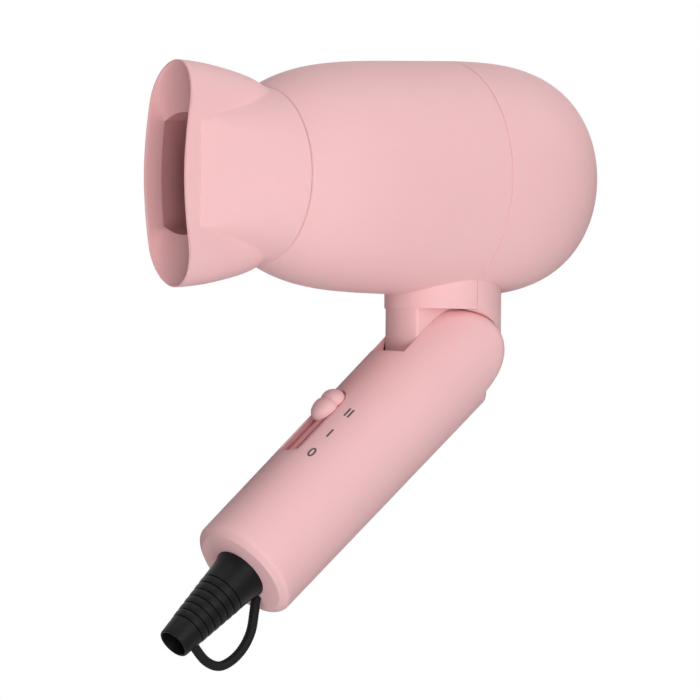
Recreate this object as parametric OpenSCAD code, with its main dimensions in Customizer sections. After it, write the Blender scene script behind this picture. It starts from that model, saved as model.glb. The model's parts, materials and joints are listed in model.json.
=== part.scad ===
// Folding travel hair dryer with a slot nozzle.
// Air runs along X: in through the rear grille (+X) and out of the nozzle (-X).
// The origin is the centre of the barrel's outlet face. +Z is up, away from the handle.

/* [Barrel] */
// Outer radius of the barrel at its widest, where its two shells meet
barrel_r = 37.5; // [37:0.1:38]
// Radius of the barrel at the outlet face
outlet_r = 28.15; // [28:0.05:28.3]
// Distance from the outlet face to the seam between the shells
seam_x = 71.1; // [70.9:0.1:71.6]
// Length of the rounded rear end, from the seam to its tip
rear_len = 47.3; // [47:0.1:48]
// Wall thickness of the moulded shells
wall = 2; // [1.9:0.05:2.1]

/* [Neck and hinge] */
// Distance from the outlet face to the axis of the neck
neck_x = 70.8; // [70.6:0.1:71]
// Outer radius of the neck under the barrel
neck_r = 18.67; // [18.6:0.01:18.7]
// Depth of the neck's shelf below the barrel's axis
shelf_z = 41.7; // [41.6:0.05:41.8]
// Depth of the fold hinge below the barrel's axis
hinge_z = 57.25; // [57.2:0.01:57.4]
// How far the hinge stands in front of the neck's axis
hinge_offset = 2.1; // [2:0.05:2.2]
// Half the thickness of the neck's tongue, which sits in the handle's fork
tongue_half = 8.85; // [8.8:0.01:8.9]
// Fold of the handle as drawn, measured from straight down
fold = 48.65; // [0:0.05:85]

/* [Handle] */
// Outer radius of the handle at the hinge
grip_r = 18.62; // [18.5:0.01:18.7]
// Outer radius of the handle at its cord end
grip_end_r = 18.2; // [18:0.05:18.4]
// Length of the handle from the hinge to its end face
grip_len = 102.48; // [102:0.02:103]
// Radius of the fork's ears about the hinge
ear_r = 15.2; // [15:0.05:15.3]
// Half the width of the fork's slot
slot_half = 9.1; // [9.05:0.01:9.15]

/* [Nozzle] */
// Length of the nozzle in front of the outlet face
nozzle_len = 37.8; // [37:0.1:38]
// Half the height of the nozzle's mouth
mouth_half = 36.1; // [35:0.1:37]
// Half the thickness of the nozzle's mouth
mouth_thick = 11.7; // [11.5:0.1:12]
// How far the mouth's face bows forward at its middle
mouth_bow = 4; // [3:0.1:5]

/* [Switch] */
// Length of the recess that the thumb slide runs in
recess_len = 28.5; // [28:0.1:29]
// Travel of the thumb slide, from full power to off
slide_travel = 14; // [0:0.5:14]
// Height of the thumb slide above the handle
knob_rise = 3.8; // [3.5:0.1:4]

/* [Cord end] */
// Radius of the cord's hole through the strain relief
cord_hole_r = 3.6; // [3.2:0.1:3.8]
// Length of the strain relief outside the handle
relief_len = 34.3; // [33:0.1:36]
// Thickness of the hanging loop
loop_d = 2.8; // [2.4:0.1:3]

/* [Air path] */
// Radius of the fan's duct inside
duct_r = 27.6; // [27.5:0.05:27.7]
// Number of blades on the fan
blades = 7; // [5:1:9]
// Number of fixed vanes around the motor
vanes = 6; // [4:1:8]
// Number of turns of heating wire
coil_turns = 8; // [5:1:9]

/* [Hidden] */
$fn = 72;

shell_pink = "#F0BEC0";
knob_pink = "#E9B4B8";
black = "#2B2B2D";
mica = "#D9CDB4";
steel = "#B9BCC0";
brass = "#C9A24B";
big = 200;
seam_gap = 0.36;
seam_depth = 0.6;
profile_steps = 22;

// Barrel outline: a slow taper with a fast flare at the outlet, and a rounded rear end
front_taper = 0.9;
front_power = 5.3;
rear_power = 3;
grille_r = 26;
hinge = [neck_x - hinge_offset, 0, -hinge_z];
tongue_r = neck_r - 0.25;
tongue_end_r = 16.6;
fold_drawn = 48.65;
fold_max = 85;
collar_r = 21.4;
collar_in = 20;
collar_len = 8.5;
joint_gap = 0.35;
duct_front = 60;
duct_rear = 102.5;
duct_screw_r = 33;
duct_screw_angles = [90, 210, 330];
motor_r = 13.95;
shaft_r = 1.15;
bearing_r = 1.22;
neck_screw_z = -46;
bush_r = 5;
bush_end = 14;

function front_r(x, inset) = let (t = 1 - x / seam_x)
    barrel_r - inset - front_taper * t - (barrel_r - outlet_r - front_taper) * pow(t, front_power);
function rear_r(u, inset) = (barrel_r - inset)
    * pow(max(0, 1 - pow(u / (rear_len - inset), rear_power)), 1 / rear_power);
function rear_x(r) = seam_x + rear_len * pow(1 - pow(r / barrel_r, rear_power), 1 / rear_power);
function polar(r, a) = [r * cos(a), r * sin(a)];
lip_x = rear_x(grille_r);

module along_x() { rotate([0, 90, 0]) children(); }
module along_y() { rotate([-90, 0, 0]) children(); }
module box(low, high) { translate(low) cube(high - low); }
module disc_x(x0, x1, r) { translate([x0, 0, 0]) along_x() cylinder(h = x1 - x0, r = r); }
module tube_x(x0, x1, r_out, r_in) {
    difference() {
        disc_x(x0, x1, r_out);
        disc_x(x0 - 1, x1 + 1, r_in);
    }
}
// Round wire or cord along a route of points: one ring of corners at each point
function unit(v) = v / norm(v);
function swept_ring(route, i, r, sides) = let (n = len(route) - 1,
    t = unit(route[min(i + 1, n)] - route[max(i - 1, 0)]),
    u = unit(cross(t, abs(t[1]) > 0.8 ? [1, 0, 0] : [0, 1, 0])), w = cross(t, u))
    [for (k = [0 : sides - 1]) route[i] + r * (cos(360 * k / sides) * u + sin(360 * k / sides) * w)];
module sweep(route, r, sides) {
    n = len(route) - 1;
    points = [for (i = [0 : n]) each swept_ring(route, i, r, sides)];
    skin = [for (i = [0 : n - 1]) for (k = [0 : sides - 1]) let (m = (k + 1) % sides)
        [i * sides + k, (i + 1) * sides + k, (i + 1) * sides + m, i * sides + m]];
    polyhedron(points, concat(skin, [[for (k = [0 : sides - 1]) k]],
        [[for (k = [sides - 1 : -1 : 0]) n * sides + k]]));
}
// A smooth curve through hand-set points
function spline(p, t) = let (n = len(p) - 1, i = min(floor(t), n - 1), f = t - i,
    a = p[max(i - 1, 0)], b = p[i], c = p[i + 1], d = p[min(i + 2, n)])
    0.5 * (2 * b + (c - a) * f + (2 * a - 5 * b + 4 * c - d) * f * f + (3 * b - a - 3 * c + d) * f * f * f);
function smooth(p, per_span) = [for (i = [0 : (len(p) - 1) * per_span]) spline(p, i / per_span)];
// A ring of slots: the ring between two radii, less a spoke every 360 / spokes degrees
module ring_slots(x0, x1, r, width, spokes, spoke_w) {
    difference() {
        tube_x(x0, x1, r + width / 2, r - width / 2);
        for (i = [0 : spokes - 1]) rotate([i * 360 / spokes, 0, 0])
            box([x0 - 1, -spoke_w / 2, 0], [x1 + 1, spoke_w / 2, r + width]);
    }
}
// Handle pieces are drawn hanging straight down from the hinge, then folded
module in_handle() { translate(hinge) rotate([0, fold, 0]) children(); }

// ---- Housing of the barrel ----
module barrel_solid(inset, x_from) {
    steps = profile_steps;
    u_end = lip_x - seam_x;
    front = [for (i = [0 : steps]) let (x = x_from + (seam_x - x_from) * (1 - cos(90 * i / steps)))
        [front_r(x, inset), x]];
    rear = [for (i = [1 : steps]) let (u = u_end * sin(90 * i / steps))
        [rear_r(u, inset), seam_x + u]];
    along_x() rotate_extrude() polygon(concat([[0, x_from]], front, rear, [[0, lip_x]]));
}
// The tongue under the shelf: flat cheeks, and an end rounded about the hinge
module tongue_solid(inset) {
    intersection() {
        translate([neck_x, 0, -hinge_z - 25]) cylinder(h = 50, r = tongue_r - inset);
        box([0, -tongue_half + inset, -big], [big, tongue_half - inset, big]);
        union() {
            box([0, -20, -hinge_z + 0.25 + inset], [big, 20, -30]);
            translate([hinge[0], -20, hinge[2]]) along_y() cylinder(h = 40, r = tongue_end_r - inset);
        }
    }
}
module housing_solid(inset) {
    barrel_solid(inset, 0);
    translate([neck_x, 0, -shelf_z + inset]) cylinder(h = shelf_z - 20, r = neck_r - inset);
    tongue_solid(inset);
}
// The rear half of the neck runs on down to the hinge's level, clear of the handle's ears
module neck_skirt() {
    difference() {
        intersection() {
            translate([neck_x, 0, -hinge_z + 0.25]) cylinder(h = hinge_z - shelf_z, r = neck_r);
            box([seam_x + seam_gap / 2, -30, -big], [big, 30, 0]);
        }
        for (s = [-1, 1]) translate([hinge[0], s > 0 ? tongue_half : -30, hinge[2]])
            along_y() cylinder(h = 30 - tongue_half, r = ear_r + 0.3);
    }
}
module housing_cavity() {
    barrel_solid(wall, wall);
    translate([neck_x, 0, -shelf_z + wall]) cylinder(h = shelf_z - 20, r = neck_r - wall);
    tongue_solid(wall);
}
// The thin line left around the joint between the shells
module seam_groove() {
    difference() {
        box([seam_x - seam_gap / 2, -50, -90], [seam_x + seam_gap / 2, 50, 50]);
        housing_solid(seam_depth);
    }
}
// Round seats in both cheeks for the hinge bushes, and the window for the leads in the tongue's end
module tongue_cuts() {
    translate([hinge[0], -20, hinge[2]]) along_y() cylinder(h = 40, r = bush_r + 1.05);
    intersection() {
        box([hinge[0] - 15.5, -3.2, hinge[2] - 20], [hinge[0] - 3, 3.2, hinge[2] - 6]);
        translate([hinge[0], -20, hinge[2]]) along_y() cylinder(h = 40, r = 25);
    }
    // Shallow grooves that the detent spring's nose drops into, one for each stop
    for (a = [0, fold_drawn]) translate(hinge) rotate([0, a, 0]) translate([0, 3.2, -tongue_end_r - 0.3])
        along_y() cylinder(h = 8, r = 0.8);
}
module duct_boss(a) {
    p = polar(duct_screw_r, a);
    difference() {
        translate([48, p[0], p[1]]) along_x() cylinder(h = duct_front - 48, r = 2.8);
        translate([50, p[0], p[1]]) along_x() cylinder(h = 12, r = 1.2);
    }
}

module front_shell() color(shell_pink) {
    difference() {
        union() {
            difference() {
                housing_solid(0);
                housing_cavity();
            }
            disc_x(-collar_len, 6, collar_r);
            intersection() {
                for (a = duct_screw_angles) duct_boss(a);
                barrel_solid(0.5, 0);
            }
            intersection() {
                translate([50, 0, neck_screw_z]) along_x() cylinder(h = seam_x - 50, r = 2.8);
                tongue_solid(0.5);
            }
        }
        disc_x(-collar_len - 1, 7, collar_in);
        tube_x(-5.7, -4.5, collar_r + 1, collar_r - 0.65);
        box([seam_x, -big, -big], [big, big, big]);
        seam_groove();
        tongue_cuts();
        for (a = duct_screw_angles) let (p = polar(duct_screw_r, a))
            translate([51, p[0], p[1]]) along_x() cylinder(h = 12, r = 1.2);
        translate([56, 0, neck_screw_z]) along_x() cylinder(h = 20, r = 1.3);
    }
}

module rear_cover() color(shell_pink) {
    difference() {
        union() {
            difference() {
                union() {
                    housing_solid(0);
                    neck_skirt();
                }
                housing_cavity();
            }
            intersection() {
                translate([seam_x, 0, neck_screw_z]) along_x() cylinder(h = 30, r = 4.2);
                tongue_solid(0.5);
            }
        }
        box([-big, -big, -big], [seam_x, big, big]);
        disc_x(104, 120, grille_r - 1.6);
        seam_groove();
        tongue_cuts();
        translate([60, 0, neck_screw_z]) along_x() cylinder(h = 40, r = 1.6);
        translate([83, 0, neck_screw_z]) along_x() cylinder(h = 10, r = 2.9);
    }
}

// ---- Rear grille and filter ----
module inlet_grille() color(shell_pink) {
    plug_out = grille_r - 1.8;
    plug_in = plug_out - 1.6;
    edge_r = grille_r - 0.25;
    steps = 12;
    outer = [for (i = [0 : steps]) let (r = edge_r * i / steps) [r, rear_x(r)]];
    inner = [for (i = [steps : -1 : 0]) let (r = plug_in * i / steps) [r, rear_x(r) - wall]];
    difference() {
        along_x() rotate_extrude() polygon(concat(outer,
            [[edge_r, lip_x + 0.02], [plug_out, lip_x + 0.02], [plug_out, 107], [plug_in, 107]], inner));
        for (r = [5.6, 9.3, 13, 16.7, 20.4]) ring_slots(106, 120, r, 2.2, 8, 1.8);
    }
}
module inlet_filter() color(steel) {
    frame_r = grille_r - 1.9;
    pitch = 3.6;
    lines = 6;
    tube_x(106.2, 107, frame_r, frame_r - 2.4);
    translate([106.4, 0, 0]) rotate([90, 0, 90]) linear_extrude(0.4) intersection() {
        circle(r = frame_r - 2);
        union() {
            for (i = [-lines : lines]) translate([i * pitch - 0.25, -30]) square([0.5, 60]);
            for (i = [-lines : lines]) translate([-30, i * pitch - 0.25]) square([60, 0.5]);
        }
    }
}

// ---- Outlet side ----
module outlet_grille() color(black) {
    frame_r = collar_in - 0.05;
    difference() {
        disc_x(1.5, 4, frame_r);
        for (r = [4.4, 8.6, 12.8, 17]) ring_slots(0, 6, r, 3, 6, 1.4);
    }
}
module nozzle_snap_ring() color(steel) {
    difference() {
        tube_x(-5.4, -4.8, collar_r + 0.45, collar_r - 0.5);
        box([-7, -3, 0], [-3, 3, 30]);
    }
}
// Nozzle sections are drawn as (Y, Z) outlines and placed at a distance in front of the outlet
module slab(x) { translate([-x, 0, 0]) rotate([90, 0, 90]) linear_extrude(0.01) children(); }
module stadium(half_h, half_w) {
    square([2 * half_w, 2 * (half_h - half_w)], center = true);
    for (s = [-1, 1]) translate([0, s * (half_h - half_w)]) circle(r = half_w);
}
module clipped_circle(r, half_w) {
    intersection() {
        circle(r = r);
        square([2 * half_w, 3 * r], center = true);
    }
}
nozzle_sections = [[nozzle_len + 1, mouth_half], [24, 35.2], [11, 32.4], [joint_gap, 28.2]];
module nozzle_outer() {
    for (i = [0 : 2]) hull() for (k = [i, i + 1])
        slab(nozzle_sections[k][0]) stadium(nozzle_sections[k][1], mouth_thick);
    hull() {
        slab(32.4) clipped_circle(21, mouth_thick + 0.4);
        slab(joint_gap) circle(r = outlet_r);
    }
}
module nozzle() color(shell_pink) {
    throat_x = 30.5;
    bow_r = (pow(mouth_half, 2) + pow(mouth_bow, 2)) / (2 * mouth_bow);
    difference() {
        intersection() {
            nozzle_outer();
            translate([bow_r - nozzle_len, -50, 0]) along_y() cylinder(h = 100, r = bow_r, $fn = 360);
            box([-60, -50, -50], [-joint_gap, 50, 50]);
        }
        // The mouth's shallow bowl
        hull() {
            slab(nozzle_len + 1.2) stadium(mouth_half - 1.3, mouth_thick - 1.3);
            slab(throat_x) clipped_circle(19.5, mouth_thick - 1.3);
        }
        // The throat behind it, widening to the barrel's collar
        hull() {
            slab(throat_x + 0.2) clipped_circle(19.5, mouth_thick - 1.3);
            slab(9.2) circle(r = collar_r + 0.1);
        }
        // The hollow wings behind the bowl
        hull() {
            slab(26) stadium(33.5, mouth_thick - 1.6);
            slab(10) stadium(30.2, mouth_thick - 1.6);
        }
        disc_x(-9.25, 1, collar_r + 0.1);
        tube_x(-5.8, -4.4, collar_r + 0.8, collar_r);
        // Relief in the thick rear edge
        along_x() rotate_extrude() polygon([[collar_r + 2, 1], [outlet_r - 1.7, 1],
            [outlet_r - 1.7, -joint_gap], [collar_r + 2, -5]]);
    }
}

// ---- Heater ----
board_half = 20.45;
board_tab = 25.7;
board_x = [10, 57];
board_t = 0.8;
eyelets = [[17, 14], [17, -14], [50, 14], [50, -14]];
module mica_sleeve() color(mica) { tube_x(6.2, duct_front - 0.2, board_tab + 0.8, board_tab + 0.15); }
module mica_board(notch_from, notch_to) {
    difference() {
        union() {
            box([board_x[0], -board_t / 2, -board_half], [board_x[1], board_t / 2, board_half]);
            for (x = [board_x[0], board_x[1] - 3])
                box([x, -board_t / 2, -board_tab], [x + 3, board_t / 2, board_tab]);
        }
        box([notch_from, -1, -board_t / 2 - 0.05], [notch_to, 1, board_t / 2 + 0.05]);
    }
}
module mica_board_upright() color(mica) {
    middle = (board_x[0] + board_x[1]) / 2;
    difference() {
        mica_board(middle, board_x[1] + 1);
        for (e = eyelets) translate([e[0], -2, e[1]]) along_y() cylinder(h = 4, r = 1);
    }
}
module mica_board_cross() color(mica) {
    middle = (board_x[0] + board_x[1]) / 2;
    rotate([90, 0, 0]) mica_board(board_x[0] - 1, middle);
}
// Resistance wire wound round the crossed boards
module heating_coil() color("#8C7B6B") {
    wire_r = 0.45;
    coil_r = board_half + 0.1 + wire_r;
    per_turn = 16;
    x_start = 15;
    x_end = 52;
    rings = coil_turns * per_turn;
    sweep([for (i = [0 : rings]) let (a = 360 * i / per_turn)
        [x_start + (x_end - x_start) * i / rings, coil_r * cos(a), coil_r * sin(a)]], wire_r, 6);
}
module heater_eyelets() color(brass) {
    for (e = eyelets) translate([e[0], 0, e[1]]) along_y() {
        translate([0, 0, -1]) cylinder(h = 2, r = 1);
        for (z = [-1, board_t / 2]) translate([0, 0, z]) cylinder(h = 0.6, r = 1.8);
    }
}
module thermostat() color(steel) {
    box([16, 4, board_t / 2], [24, 11, 2.4]);
    box([15, 5.5, 2.4], [27, 9.5, 2.7]);
    translate([20, 7.5, 2.5]) cylinder(h = 1, r = 1.2);
}
module thermal_fuse() color(steel) {
    fuse_r = 1.5;
    translate([0, -8, board_t / 2 + fuse_r]) {
        disc_x(30, 40, fuse_r);
        disc_x(25, 45, 0.35);
    }
}

// ---- Fan and motor ----
module fan_duct() color("#4A4A4C") {
    difference() {
        union() {
            tube_x(duct_front, duct_rear, duct_r + 1.4, duct_r);
            tube_x(duct_front, duct_front + 2, 34.9, 26.8);
            tube_x(duct_front - 3.5, duct_front + 1, board_tab + 2.1, board_tab + 0.85);
            tube_x(64, 88, motor_r + 1.7, motor_r + 0.05);
            intersection() {
                for (i = [0 : vanes - 1]) rotate([i * 360 / vanes + 30, 0, 0])
                    translate([75, 0, 22]) rotate([0, 0, 18]) cube([17, 1.3, 16], center = true);
                tube_x(62, 88, duct_r + 0.5, motor_r + 1);
            }
        }
        for (a = duct_screw_angles) let (p = polar(duct_screw_r, a))
            translate([duct_front - 1, p[0], p[1]]) along_x() cylinder(h = 4, r = 1.3);
        box([duct_front - 1, -5, -36], [duct_front + 3, 5, -duct_r - 1.5]);
    }
}
module duct_screws() color(steel) {
    for (a = duct_screw_angles) let (p = polar(duct_screw_r, a)) translate([0, p[0], p[1]]) {
        disc_x(51.5, duct_front + 2, 1.15);
        difference() {
            disc_x(duct_front + 2, duct_front + 3.6, 2.1);
            box([duct_front + 3, -0.3, -1.4], [duct_front + 4, 0.3, 1.4]);
            box([duct_front + 3, -1.4, -0.3], [duct_front + 4, 1.4, 0.3]);
        }
    }
}
module motor_can() color(steel) {
    difference() {
        union() {
            tube_x(66, 86, motor_r, motor_r - 0.9);
            disc_x(84.8, 86, motor_r);
            disc_x(86, 88, 3.5);
        }
        disc_x(60, 90, bearing_r);
    }
}
module motor_end_cap() color("#E8E4DA") {
    difference() {
        union() {
            disc_x(63, 66, motor_r);
            disc_x(66, 67, motor_r - 0.95);
            disc_x(61.5, 63, 3.2);
        }
        disc_x(60, 70, bearing_r);
        for (s = [-1, 1]) translate([0, 8 * s, 0]) disc_x(60, 70, 0.7);
    }
}
module motor_magnets() color("#3A3A3C") {
    difference() {
        tube_x(68, 83, motor_r - 0.95, 10.5);
        for (a = [0, 90]) rotate([a, 0, 0]) rotate([45, 0, 0]) box([60, -30, -3], [90, 30, 3]);
    }
}
module motor_rotor() color("#8A5A3A") {
    difference() {
        union() {
            tube_x(70, 82, 9.9, shaft_r);
            tube_x(67.6, 70, 3, shaft_r);
        }
        for (i = [0 : 2]) rotate([i * 120, 0, 0]) box([69, -1.5, 4], [83, 1.5, 12]);
    }
}
module motor_shaft() color(steel) { disc_x(60.5, 99, shaft_r); }
module motor_terminals() color(brass) { for (s = [-1, 1]) translate([0, 8 * s, 0]) disc_x(57, 67.5, 0.6); }
module fan_impeller() color("#2F3133") {
    hub_r = 9;
    difference() {
        union() {
            tube_x(90, 99, hub_r, shaft_r);
            translate([99, 0, 0]) along_x() cylinder(h = 2.4, r1 = hub_r, r2 = hub_r - 3);
            intersection() {
                for (i = [0 : blades - 1]) rotate([i * 360 / blades, 0, 0])
                    translate([95, 0, 18]) rotate([0, 0, 52]) cube([14, 1.2, 24], center = true);
                tube_x(90.3, 99.7, duct_r - 0.6, hub_r - 1);
            }
        }
        disc_x(89, 99, shaft_r);
    }
}
module rectifier_board() color("#7FA36B") {
    difference() {
        disc_x(57.8, 59, 11);
        disc_x(57, 60, 4);
        for (s = [-1, 1]) translate([0, 8 * s, 0]) disc_x(57, 60, 0.65);
    }
}
module rectifier_diodes() color(black) {
    for (a = [45 : 90 : 315]) rotate([a, 0, 0]) box([55.6, -1.1, 5.6], [57.8, 1.1, 10]);
}
module barrel_leads() color("#D8D8D8") {
    for (y = [-4.4, 4.4])
        sweep(smooth([[hinge[0] - 2, y * 0.4, hinge[2] + 3], [hinge[0], y, hinge[2] + 9], [neck_x, y, -36],
            [neck_x - 3, y, -32], [duct_front - 3, y * 0.9, -31.4]], 3), 0.9, 8);
}
module neck_screw() color(steel) {
    translate([0, 0, neck_screw_z]) {
        disc_x(60, 83, 1.25);
        difference() {
            disc_x(83, 85, 2.7);
            box([84.2, -0.35, -1.8], [86, 0.35, 1.8]);
            box([84.2, -1.8, -0.35], [86, 1.8, 0.35]);
        }
    }
}

// ---- Hinge ----
// A stepped bush: journal in the ear, collar in the cheek, flange behind the cheek
module hinge_bush(side) {
    translate([hinge[0], 0, hinge[2]]) mirror([0, side < 0 ? 1 : 0, 0]) along_y() difference() {
        union() {
            translate([0, 0, tongue_half - wall - 1.5]) cylinder(h = 1.5, r = bush_r + 2.6);
            translate([0, 0, tongue_half - wall - 0.5]) cylinder(h = wall + 0.5, r = bush_r + 1);
            translate([0, 0, tongue_half - 0.5]) cylinder(h = bush_end - tongue_half + 0.5, r = bush_r);
        }
        cylinder(h = 20, r = 2.6);
    }
}
module hinge_bush_left() color("#EDEAE2") { hinge_bush(-1); }
module hinge_bush_right() color("#EDEAE2") { hinge_bush(1); }
// A bent steel strip on the slot's floor whose nose rests in the tongue's groove
module detent_spring() color(steel) {
    nose_z = -tongue_end_r - 0.6;
    in_handle() {
        box([-9, 3.6, slot_floor_z], [9, 7.6, slot_floor_z + 0.35]);
        translate([0, 3.6, nose_z]) along_y() cylinder(h = 4, r = 0.5);
        box([-0.4, 3.6, slot_floor_z + 0.1], [0.4, 7.6, nose_z]);
    }
}

// ---- Handle ----
grip_in = grip_r - 2.2;
end_round = 2.26;
end_wall = 2.3;
slot_floor_z = -18.2;
floor_t = 1.8;
relief_hole_r = 6.5;
loop_foot = [12, -grip_len];
function grip_at(z) = grip_r + (grip_end_r - grip_r) * (-z / grip_len);
front_face = hinge_offset - grip_at(-50);
recess_floor = front_face + 1.1;
recess_top = -35.05;
knob_top = -35.6;
knob_len = 13.5;
rail_y = 2.4;
module grip_axis() { translate([hinge_offset, 0, 0]) children(); }
module grip_solid() {
    arc = [for (a = [0 : 15 : 90]) [grip_end_r - end_round + end_round * cos(a),
        -grip_len + end_round - end_round * sin(a)]];
    grip_axis() rotate_extrude() polygon(concat([[0, 0], [grip_r, 0]], arc, [[0, -grip_len]]));
    intersection() {
        translate([0, -30, 0]) along_y() cylinder(h = 60, r = ear_r);
        grip_axis() cylinder(h = 30, r = grip_r);
    }
}
// The fork's slot: open above the hinge, above a sloping edge in front, and wherever the neck
// comes when the handle is folded fully
module fork_slot() {
    front_edge = [-16.5, -15.65];
    intersection() {
        box([-40, -slot_half, -40], [40, slot_half, 40]);
        union() {
            grip_axis() translate([0, 0, slot_floor_z]) cylinder(h = 12, r = grip_in - 3);
            translate([0, -20, 0]) along_y() cylinder(h = 40, r = tongue_end_r + 0.4);
            box([-40, -20, 0], [40, 20, 40]);
            translate([front_edge[0], 0, front_edge[1]]) rotate([0, -fold_drawn, 0])
                box([-40, -20, 0], [40, 20, 60]);
            rotate([0, -fold_max, 0]) translate([hinge_offset, 0, 0]) cylinder(h = 60, r = neck_r + 0.3);
        }
    }
}
// Rounded slot in the handle's front, drawn in the (Y, Z) plane
module recess_outline() {
    r = 4.25;
    for (z = [recess_top - r, recess_top - recess_len + r]) translate([0, z]) circle(r = r);
    translate([-r, recess_top - recess_len + r]) square([2 * r, recess_len - 2 * r]);
}
module handle_shell() color(shell_pink) {
    rail_top = knob_top - 3.4;
    rail_bottom = recess_top - recess_len + 1;
    in_handle() difference() {
        grip_solid();
        fork_slot();
        // Main bore, and the cored-out backs of the ears
        grip_axis() translate([0, 0, -grip_len + end_wall])
            cylinder(h = grip_len - end_wall + slot_floor_z, r = grip_in - 0.4);
        for (s = [-1, 1]) intersection() {
            grip_axis() translate([0, 0, slot_floor_z - 1]) cylinder(h = 12, r = grip_in - 0.7);
            box([-30, s > 0 ? slot_half + 2 : -20, -30], [30, s > 0 ? 20 : -slot_half - 2, -8]);
        }
        translate([0, -bush_end - 0.3, 0]) along_y() cylinder(h = 2 * bush_end + 0.6, r = bush_r + 0.05);
        // Thumb slide's recess and its two rails
        translate([-30, 0, 0]) rotate([90, 0, 90]) linear_extrude(30 + recess_floor) recess_outline();
        for (s = [-1, 1]) box([-20, s * rail_y - 0.5, rail_bottom], [-10, s * rail_y + 0.5, rail_top]);
        // Cord end
        grip_axis() translate([0, 0, -grip_len - 1]) cylinder(h = 5, r = relief_hole_r);
        translate([loop_foot[0], 0, -grip_len - 1]) cylinder(h = 5, r = loop_d / 2 + 0.15);
    }
}
module slot_floor() color("#C99A9D") {
    in_handle() difference() {
        intersection() {
            box([-20, -slot_half + 0.1, slot_floor_z - floor_t], [20, slot_half - 0.1, slot_floor_z]);
            grip_axis() translate([0, 0, -30]) cylinder(h = 30, r = grip_in - 0.5);
        }
        translate([0, 0, -30]) cylinder(h = 20, r = 3);
    }
}

// ---- Pieces inside the handle ----
spine_x = 6;
spine_t = 1.6;
spine_half = 8.9;
switch_x = [-9.9, -1.4];
switch_half = 7;
switch_z = [-66, -33];
clamp_z = [-88, -81];
clamp_screw_y = 6.4;
cord_seat_r = 3.55;
terminals = [[-4, -38], [0, -45.5], [4, -53], [0, -60.5]];
module chassis() color("#5B5B5E") {
    in_handle() difference() {
        union() {
            box([spine_x, -spine_half, -98], [spine_x + spine_t, spine_half, slot_floor_z - floor_t]);
            for (s = [-1, 1]) box([switch_x[0], s > 0 ? switch_half + 0.1 : -spine_half, switch_z[0]],
                [spine_x + 0.5, s > 0 ? spine_half : -switch_half - 0.1, switch_z[1]]);
            for (s = [-1, 1]) box([-1.4, s > 0 ? 4.6 : -8.2, clamp_z[0]],
                [spine_x + 0.5, s > 0 ? 8.2 : -4.6, clamp_z[1]]);
        }
        for (s = [-1, 1]) translate([-3, s * clamp_screw_y, (clamp_z[0] + clamp_z[1]) / 2])
            along_x() cylinder(h = 9, r = 1.1);
        box([0, -4, -79], [20, 4, -68]);
    }
}
// Outline of the thumb slide's two humps, drawn in the (X, Z) plane: a low one, then a high one
module slide_humps() {
    back = recess_floor - 0.1;
    translate([front_face - 1.2, knob_top - knob_len]) square([back - front_face + 1.2, knob_len]);
    for (h = [[3.3, 3.3, 3.5], [8.7, 4.1, knob_rise]]) intersection() {
        translate([front_face - h[2] + h[1], knob_top - h[0]]) circle(r = h[1]);
        translate([front_face - 5, knob_top - h[0] - 5]) square([back - front_face + 5, 10]);
    }
}
module slide_legs() {
    for (s = [-1, 1])
        box([recess_floor - 0.2, s * rail_y - 0.4, knob_top - 9.5], [-12.4, s * rail_y + 0.4, knob_top - 4]);
}
// Thumb slide with a leg in each rail
module switch_knob() color(knob_pink) {
    half = 3.8;
    in_handle() {
        intersection() {
            translate([0, half, 0]) rotate([90, 0, 0]) linear_extrude(2 * half) slide_humps();
            translate([-30, 0, 0]) rotate([90, 0, 90]) linear_extrude(30) {
                for (z = [knob_top - half, knob_top - knob_len + half]) translate([0, z]) circle(r = half);
                translate([-half, knob_top - knob_len + half]) square([2 * half, knob_len - 2 * half]);
            }
        }
        slide_legs();
    }
}
module switch_slider() color(black) {
    in_handle() {
        difference() {
            box([-13.2, -3.6, knob_top - 10], [-11.4, 3.6, knob_top - 3.5]);
            slide_legs();
        }
        translate([-11.5, 0, knob_top - knob_len / 2]) along_x() cylinder(h = 3.2, r = 1.2);
    }
}
module switch_body() color("#1F1F22") {
    middle = knob_top - knob_len / 2;
    in_handle() difference() {
        box([switch_x[0], -switch_half, switch_z[0]], [switch_x[1], switch_half, switch_z[1]]);
        box([switch_x[0] - 1, -1.6, middle - slide_travel - 1.6], [-7.6, 1.6, middle + 1.6]);
    }
}
module switch_terminals() color(brass) {
    in_handle() for (p = terminals)
        box([switch_x[1], p[0] - 1.2, p[1] - 0.4], [spine_x - 1.6, p[0] + 1.2, p[1] + 0.4]);
}
module suppression_capacitor() color("#E2C45A") {
    in_handle() box([-8, -3, -78.5], [5, 3, -69]);
}
module handle_leads() color("#D8D8D8") {
    x = 3.4;
    in_handle() for (k = [0 : 2]) let (y = terminals[k][0], z = terminals[k][1] + 0.6)
        sweep(smooth([[x, y, z], [x, y, -28], [0.5, y * 0.45, -22], [0.2, y * 0.45, -18.4]], 3), 0.75, 8);
}
module cord_clamp() color("#E8E4DA") {
    in_handle() difference() {
        box([-3.4, -8.2, clamp_z[0]], [-1.4, 8.2, clamp_z[1]]);
        for (s = [-1, 1]) translate([-5, s * clamp_screw_y, (clamp_z[0] + clamp_z[1]) / 2])
            along_x() cylinder(h = 9, r = 1.35);
        grip_axis() translate([0, 0, -90]) cylinder(h = 12, r = cord_seat_r);
    }
}
module clamp_screws() color(steel) {
    in_handle() for (s = [-1, 1]) translate([0, s * clamp_screw_y, (clamp_z[0] + clamp_z[1]) / 2]) {
        disc_x(-3.4, 5, 1.05);
        difference() {
            disc_x(-5, -3.4, 2);
            box([-6, -0.3, -1.4], [-4.3, 0.3, 1.4]);
            box([-6, -1.4, -0.3], [-4.3, 1.4, 0.3]);
        }
    }
}

// ---- Cord end ----
relief_base_r = 9.26;
relief_tip_r = 5.4;
relief_grooves = 7;
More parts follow.
